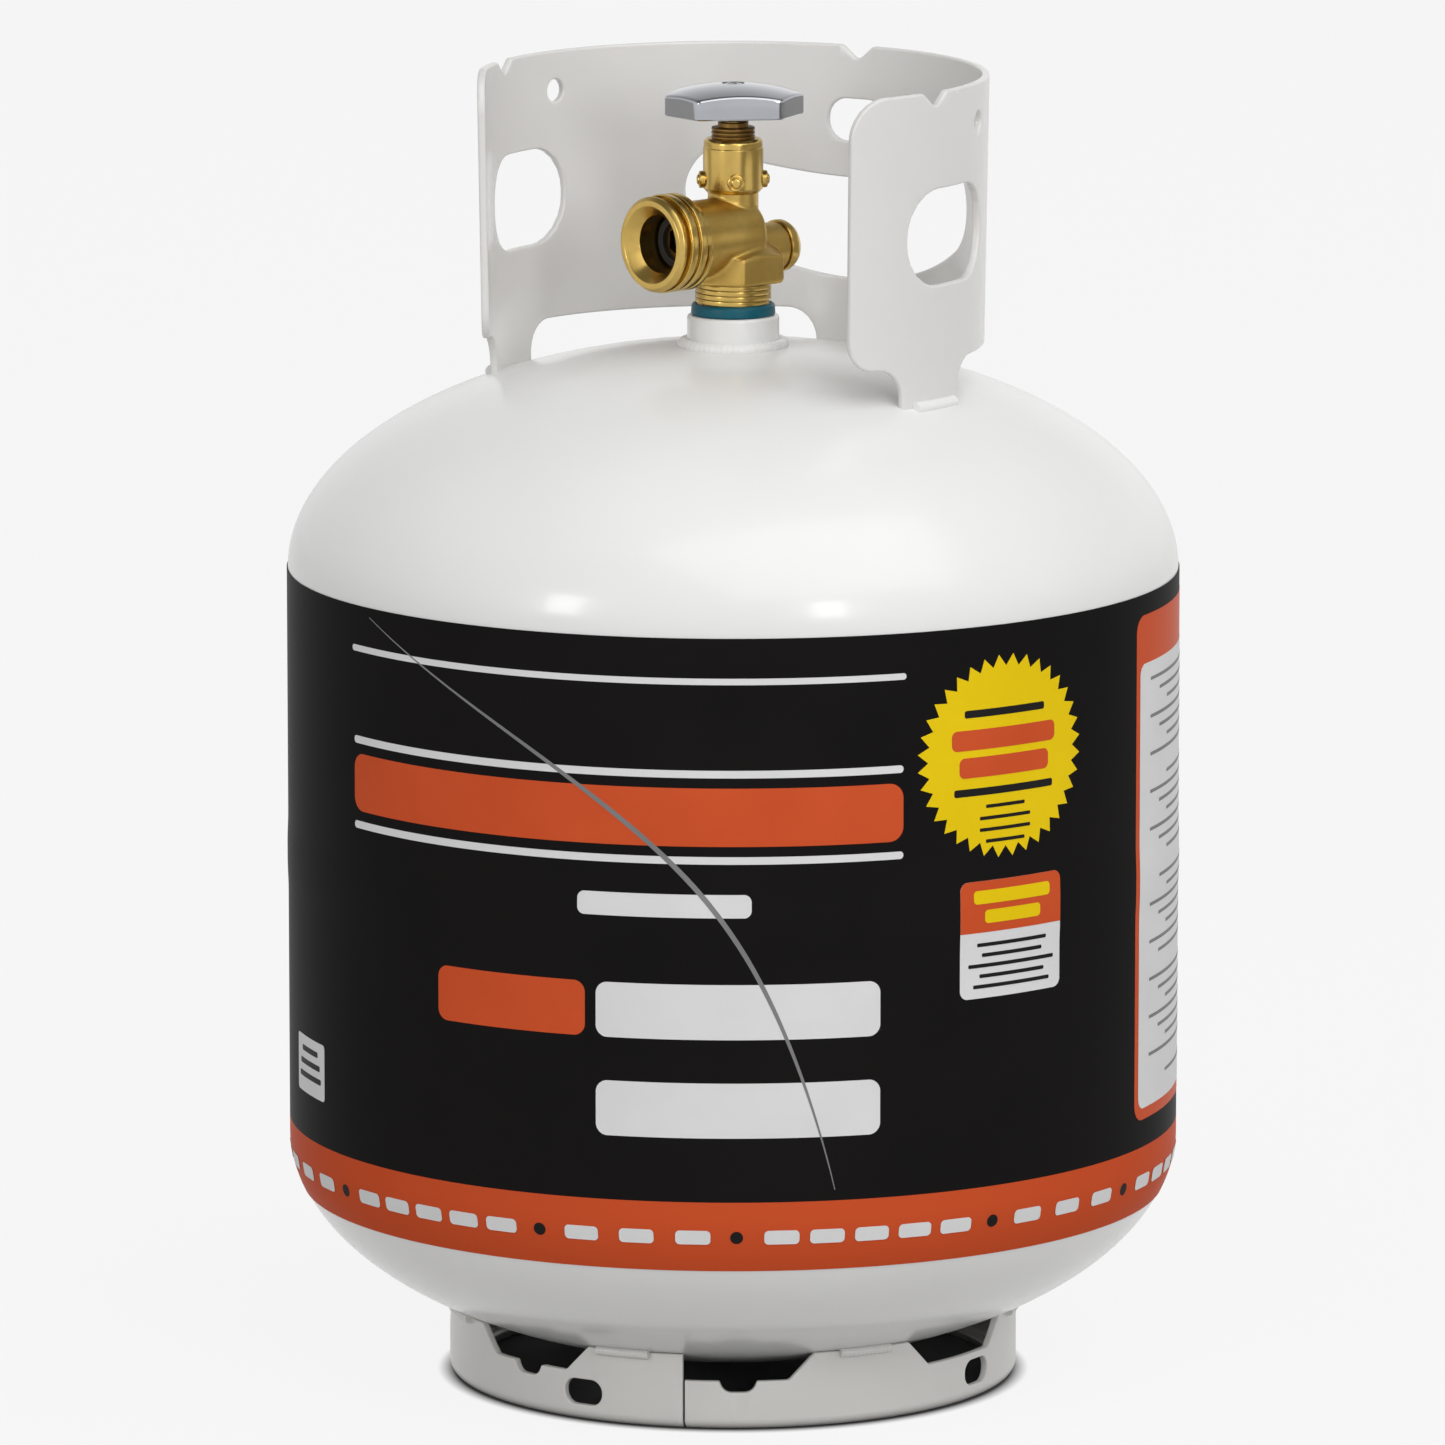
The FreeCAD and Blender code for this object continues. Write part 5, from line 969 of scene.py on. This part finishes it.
black_rubber = finish("black_rubber", (0.018, 0.018, 0.018), (0.028, 0.027, 0.026), 0.62,
                      patches=200.0, grain=1400.0, depth=0.03, spread=0.08, specular=0.3)
dress(machined_brass, "stem", "seat_plug")
dress(black_rubber, "stem_o_rings", "seat_disc")

# ==== OUTLET CHECK ====
# Brass sleeve pressed into the outlet with a hexagonal key opening, a moulded rubber
# gasket in front of it, and a sprung check that a connector pushes in.
spring_steel = finish("spring_steel", (0.50, 0.50, 0.51), (0.42, 0.42, 0.43), 0.26, metallic=1.0,
                      patches=300.0, grain=900.0, depth=0.01, spread=0.06)
gasket = port_turned("outlet_gasket_ring", [
    (6.6, 25.0), (9.25, 25.0, 0.3), (9.25, 27.0, 0.5), (8.3, 27.0, 0.2), (8.0, 26.7, 0.2),
    (7.7, 27.0, 0.2), (6.6, 27.0, 0.5)], *OUTLET, 96)
fit(gasket, black_rubber, "tank", "black_rubber", "outlet_gasket")
dress(brown_brass, "check_retainer")
dress(black_rubber, "check_poppet")
dress(spring_steel, "check_spring")

# ==== RELIEF VALVE ====
# Sprung brass poppet behind a rolled cap, opposite the outlet. It lets gas out by the
# small hole in the cap if the pressure climbs too high.
relief_cap = port_turned("relief_cap_cup", [
    (4.8, 18.3), (5.95, 18.3), (5.95, 19.9), (9.0, 19.9, 0.3), (9.1, 20.6, 0.3), (9.1, 22.4, 0.3),
    (8.8, 22.7, 0.2), (8.8, 23.0, 0.3), (7.6, 25.1, 1.6), (0.75, 25.1, 0.15), (0.75, 23.6),
    (4.8, 23.6)], *RELIEF, 128)
fit(relief_cap, machined_brass, "tank", "forged_brass", "relief_cap")
dress(machined_brass, "relief_poppet")
dress(spring_steel, "relief_spring")

# ==== LEVEL GAUGE ====
# Slotted screw in a small boss at the back of the valve; opened a little, it vents by
# the thin tube that hangs down to the highest fill level.
dress(machined_brass, "bleeder_screw")
dress(spring_steel, "dip_tube")

# ==== HANDWHEEL ====
# Die-cast zinc, six-sided with long and short sides in turn, ribbed underneath and
# chrome plated. A cross-headed screw holds it on the square end of the stem.
WHEEL_LOW, WHEEL_TOP = 444.0, 454.8
WHEEL_FLAT, WHEEL_CORNER, WHEEL_FACING = 19.8, 24.7, 7.0
WHEEL_WALL = 2.4
DOME_R = 78.0
HUB_R, HUB_LOW = 6.6, 441.9
chrome = finish("wheel_chrome", (0.46, 0.47, 0.50), (0.42, 0.43, 0.46), 0.09, metallic=1.0,
                patches=60.0, grain=160.0, depth=0.02, spread=0.03)


def wheel_outline():
    """Six-sided loop seen from above, with rounded corners and even points along its sides."""
    half = degrees(acos(WHEEL_FLAT / WHEEL_CORNER))
    corners = [(WHEEL_CORNER * cos(radians(angle)), WHEEL_CORNER * sin(radians(angle)), 2.2)
               for facing in (0.0, 120.0, 240.0) for angle in (facing - half, facing + half)]
    points = rounded(corners, 6)
    loop = []
    for (x, y), (next_x, next_y) in zip(points, points[1:] + points[:1]):
        runs = max(1, round(hypot(next_x - x, next_y - y) / 1.6))
        loop += [(x + (next_x - x) * i / runs, y + (next_y - y) * i / runs) for i in range(runs)]
    return loop


outer_loop = wheel_outline()


def dome_z(x, y, drop=0.0):
    return WHEEL_TOP - DOME_R + sqrt((DOME_R - drop) ** 2 - x * x - y * y)


def eased(points, share, radius=0.0):
    """The loop scaled towards the axis, or blended towards a circle of a radius."""
    scales = [share + radius * (1.0 - share) / hypot(x, y) for x, y in points]
    return [(x * scale, y * scale) for (x, y), scale in zip(points, scales)]


wheel_rows = [[(x, y, dome_z(x, y)) for x, y in eased(outer_loop, share, 3.95)]
              for share in (0.0, 0.15, 0.32, 0.5, 0.66, 0.8, 0.9)]
EDGE = 0.9
for step in range(5):
    swing = pi / 8.0 * step
    inset = 1.0 - EDGE * (1.0 - sin(swing)) / 22.0
    wheel_rows.append([(x, y, dome_z(x, y) - EDGE * (1.0 - cos(swing)))
                       for x, y in eased(outer_loop, inset)])
inner_loop = eased(outer_loop, 0.892)
for share, z in ((1.0, WHEEL_LOW + 0.5), (0.978, WHEEL_LOW), (0.915, WHEEL_LOW),
                 (0.892, WHEEL_LOW + 0.5)):
    wheel_rows.append([(x, y, z) for x, y in eased(outer_loop, share)])
wheel_rows.append([(x, y, dome_z(x, y, WHEEL_WALL) - 0.8) for x, y in inner_loop])
for share in (0.94, 0.75, 0.5, 0.25, 0.0):
    wheel_rows.append([(x, y, dome_z(x, y, WHEEL_WALL)) for x, y in eased(inner_loop, share, HUB_R)])
for radius, z in ((HUB_R, HUB_LOW + 0.4), (HUB_R - 0.4, HUB_LOW), (4.3, HUB_LOW), (4.05, HUB_LOW + 0.3),
                  (4.05, 449.25), (2.2, 449.25), (2.2, 453.0), (3.95, 453.0)):
    wheel_rows.append([(x, y, z) for x, y in eased(outer_loop, 0.0, radius)])
wheel_shape = ringed_shape(wheel_rows, looped=True)
for rib in range(6):
    angle = radians(60.0 * rib)
    along, across = Vector((cos(angle), sin(angle), 0.0)), Vector((-sin(angle), cos(angle), 0.0))
    end = 18.6 if rib % 2 == 0 else 21.2
    section = []
    for reach, z in ((HUB_R - 0.8, 445.0), (end, 445.0), (end, 450.6), (HUB_R - 0.8, 451.6)):
        section.append([wheel_shape.verts.new((along * reach + across * side + Vector((0, 0, z))) * MM)
                        for side in (-0.9, 0.9)])
    for a, b in zip(section, section[1:] + section[:1]):
        wheel_shape.faces.new((a[0], b[0], b[1], a[1]))
    wheel_shape.faces.new([pair[0] for pair in section])
    wheel_shape.faces.new([pair[1] for pair in reversed(section)])
turn = Matrix.Rotation(radians(WHEEL_FACING - 90.0), 4, "Z")
bmesh.ops.transform(wheel_shape, matrix=turn, verts=wheel_shape.verts)
fit(make_piece("handwheel_casting", wheel_shape, 38.0), chrome, "handwheel", "wheel_chrome", "handwheel")

screw_rows = [[(radius * cos(2 * pi * i / 48), radius * sin(2 * pi * i / 48), z) for i in range(48)]
              for radius, z in ((1.85, 442.8), (1.85, 453.0), (3.4, 453.0), (3.5, 453.2), (3.45, 453.9),
                                (3.1, 454.4), (2.4, 454.65), (1.4, 454.78), (0.5, 454.8))]
screw = plain("handwheel_screw_body", closed(ringed_shape(screw_rows)))
blades = []
for blade_turn in (WHEEL_FACING + 20.0, WHEEL_FACING + 110.0):
    blades.append(bmesh.new())
    bmesh.ops.create_cube(blades[-1], size=1.0, matrix=Matrix.Translation((0, 0, 454.6 * MM))
                          @ Matrix.Rotation(radians(blade_turn), 4, "Z")
                          @ Matrix.Diagonal((3.8 * MM, 0.85 * MM, 1.6 * MM, 1.0)))
cut_away(screw, blades, 32.0)
fit(screw, spring_steel, "handwheel", "wheel_chrome", "handwheel_screw")

# ==== OVERFILL STOP ====
# Hangs from the valve inside the tank: a brass housing with a sliding piston, and a
# moulded float on a pivoted arm that lifts the piston as the liquid rises.
float_plastic = finish("float_plastic", (0.045, 0.045, 0.05), (0.06, 0.06, 0.065), 0.5,
                       patches=60.0, grain=500.0, depth=0.03, spread=0.06, specular=0.4)
dress(machined_brass, "opd_housing", "opd_piston")
dress(spring_steel, "opd_pivot_pin", "float_arm")
dress(float_plastic, "fill_float")

# ==== STAGE ====
# Plain pale floor with a painted shadow under the tank, soft lamps and the camera. None of it belongs to
# the tank.
def shown_rays(tree):
    """1 for rays that show the background: camera, glossy and transmission rays."""
    path = tree.nodes.new("ShaderNodeLightPath")
    total = path.outputs["Is Camera Ray"]
    for ray in ("Is Glossy Ray", "Is Transmission Ray"):
        total = maths(tree, "MAXIMUM", total, path.outputs[ray])
    return total


FLOOR_HALF = 20.0
FLOOR_WHITE, FLOOR_TONE = 0.88, 0.5
# Radius, fade and dark tone of the shadow painted on the floor under the tank.
PAINTED_SHADOW_R, PAINTED_SHADOW_FADE, PAINTED_SHADOW_TONE = 0.098, 0.006, 0.12
floor_shape = bmesh.new()
bmesh.ops.create_grid(floor_shape, x_segments=1, y_segments=1, size=FLOOR_HALF)
floor = plain("floor", floor_shape)
floor_paint = bpy.data.materials.new("floor_paper")
floor_paint.use_nodes = True
tree = floor_paint.node_tree
place = add(tree, "TexCoord", output="Object")
reach = add(tree, "VectorMath", {0: place}, "Value", operation="LENGTH")
# Painted shadow: inside a radius round the tank's axis the floor's colour is painted dark and its white
# glow is taken away.
clear = remap(tree, reach, 0.0, 1.0, PAINTED_SHADOW_R, PAINTED_SHADOW_R + PAINTED_SHADOW_FADE)
tone = remap(tree, clear, PAINTED_SHADOW_TONE, FLOOR_TONE)
share = maths(tree, "MULTIPLY", maths(tree, "MULTIPLY", shown_rays(tree), clear), FLOOR_WHITE)
paper = tree.nodes["Principled BSDF"]
wire(tree, paper, {"Base Color": tone, "Roughness": 0.9})
blend = add(tree, "MixShader", {
    0: share, 1: paper.outputs["BSDF"], 2: add(tree, "Emission")})
wire(tree, tree.nodes["Material Output"], {"Surface": blend})
floor.data.materials.append(floor_paint)

SKY_FRONT, SKY_BACK = 0.64, 0.16
SKY_SIDE = (0.55, -0.72, 0.42)
CEILING = 0.20
world = bpy.data.worlds.new("studio")
bpy.context.scene.world = world
world.use_nodes = True
tree = world.node_tree
place = add(tree, "TexCoord", output="Generated")
facing = add(tree, "VectorMath", {0: place, 1: SKY_SIDE}, "Value", operation="DOT_PRODUCT")
sky = remap(tree, facing, SKY_BACK, SKY_FRONT, -1.0, 1.0)
ceiling = remap(tree, add(tree, "SeparateXYZ", {0: place}, "Z"), 1.0, CEILING, 0.2, 0.8)
level = add(tree, "Mix", {"Factor": shown_rays(tree), "A": sky, "B": ceiling})
wire(tree, tree.nodes["Background"], {"Color": (1.0, 1.0, 1.0, 1.0), "Strength": level})

AIM = Vector((-0.0037, 0.0, 0.23))
LAMP_DISTANCE = 2.6


def softbox(name, direction, width, height, watts):
    """Square lamp that faces the tank from a direction."""
    lamp = bpy.data.lights.new(name, "AREA")
    lamp.shape = "RECTANGLE"
    lamp.size, lamp.size_y, lamp.energy = width, height, watts
    holder = placed(name, lamp)
    holder.location = AIM + Vector(direction).normalized() * LAMP_DISTANCE
    holder.rotation_euler = Vector(direction).to_track_quat("Z", "Y").to_euler()


softbox("lamp_over", (0.30, -0.50, 0.82), 2.8, 2.4, 34.0)
softbox("lamp_left", (-0.685, -0.722, 0.31), 0.42, 0.70, 9.0)
softbox("lamp_right", (0.41, -0.905, 0.31), 0.38, 0.62, 7.0)

CAMERA_DISTANCE = 4.5
PITCH = radians(10.1)
camera_data = bpy.data.cameras.new("camera")
camera_data.sensor_width = 36.0
camera_data.lens = 321.3
camera_data.clip_end = 100.0
camera = placed("camera", camera_data)
camera.location = AIM + CAMERA_DISTANCE * Vector((0.0, -cos(PITCH), sin(PITCH)))
camera.rotation_euler = (pi / 2.0 - PITCH, 0.0, 0.0)
bpy.context.scene.camera = camera
bpy.context.scene.view_settings.view_transform = "Standard"
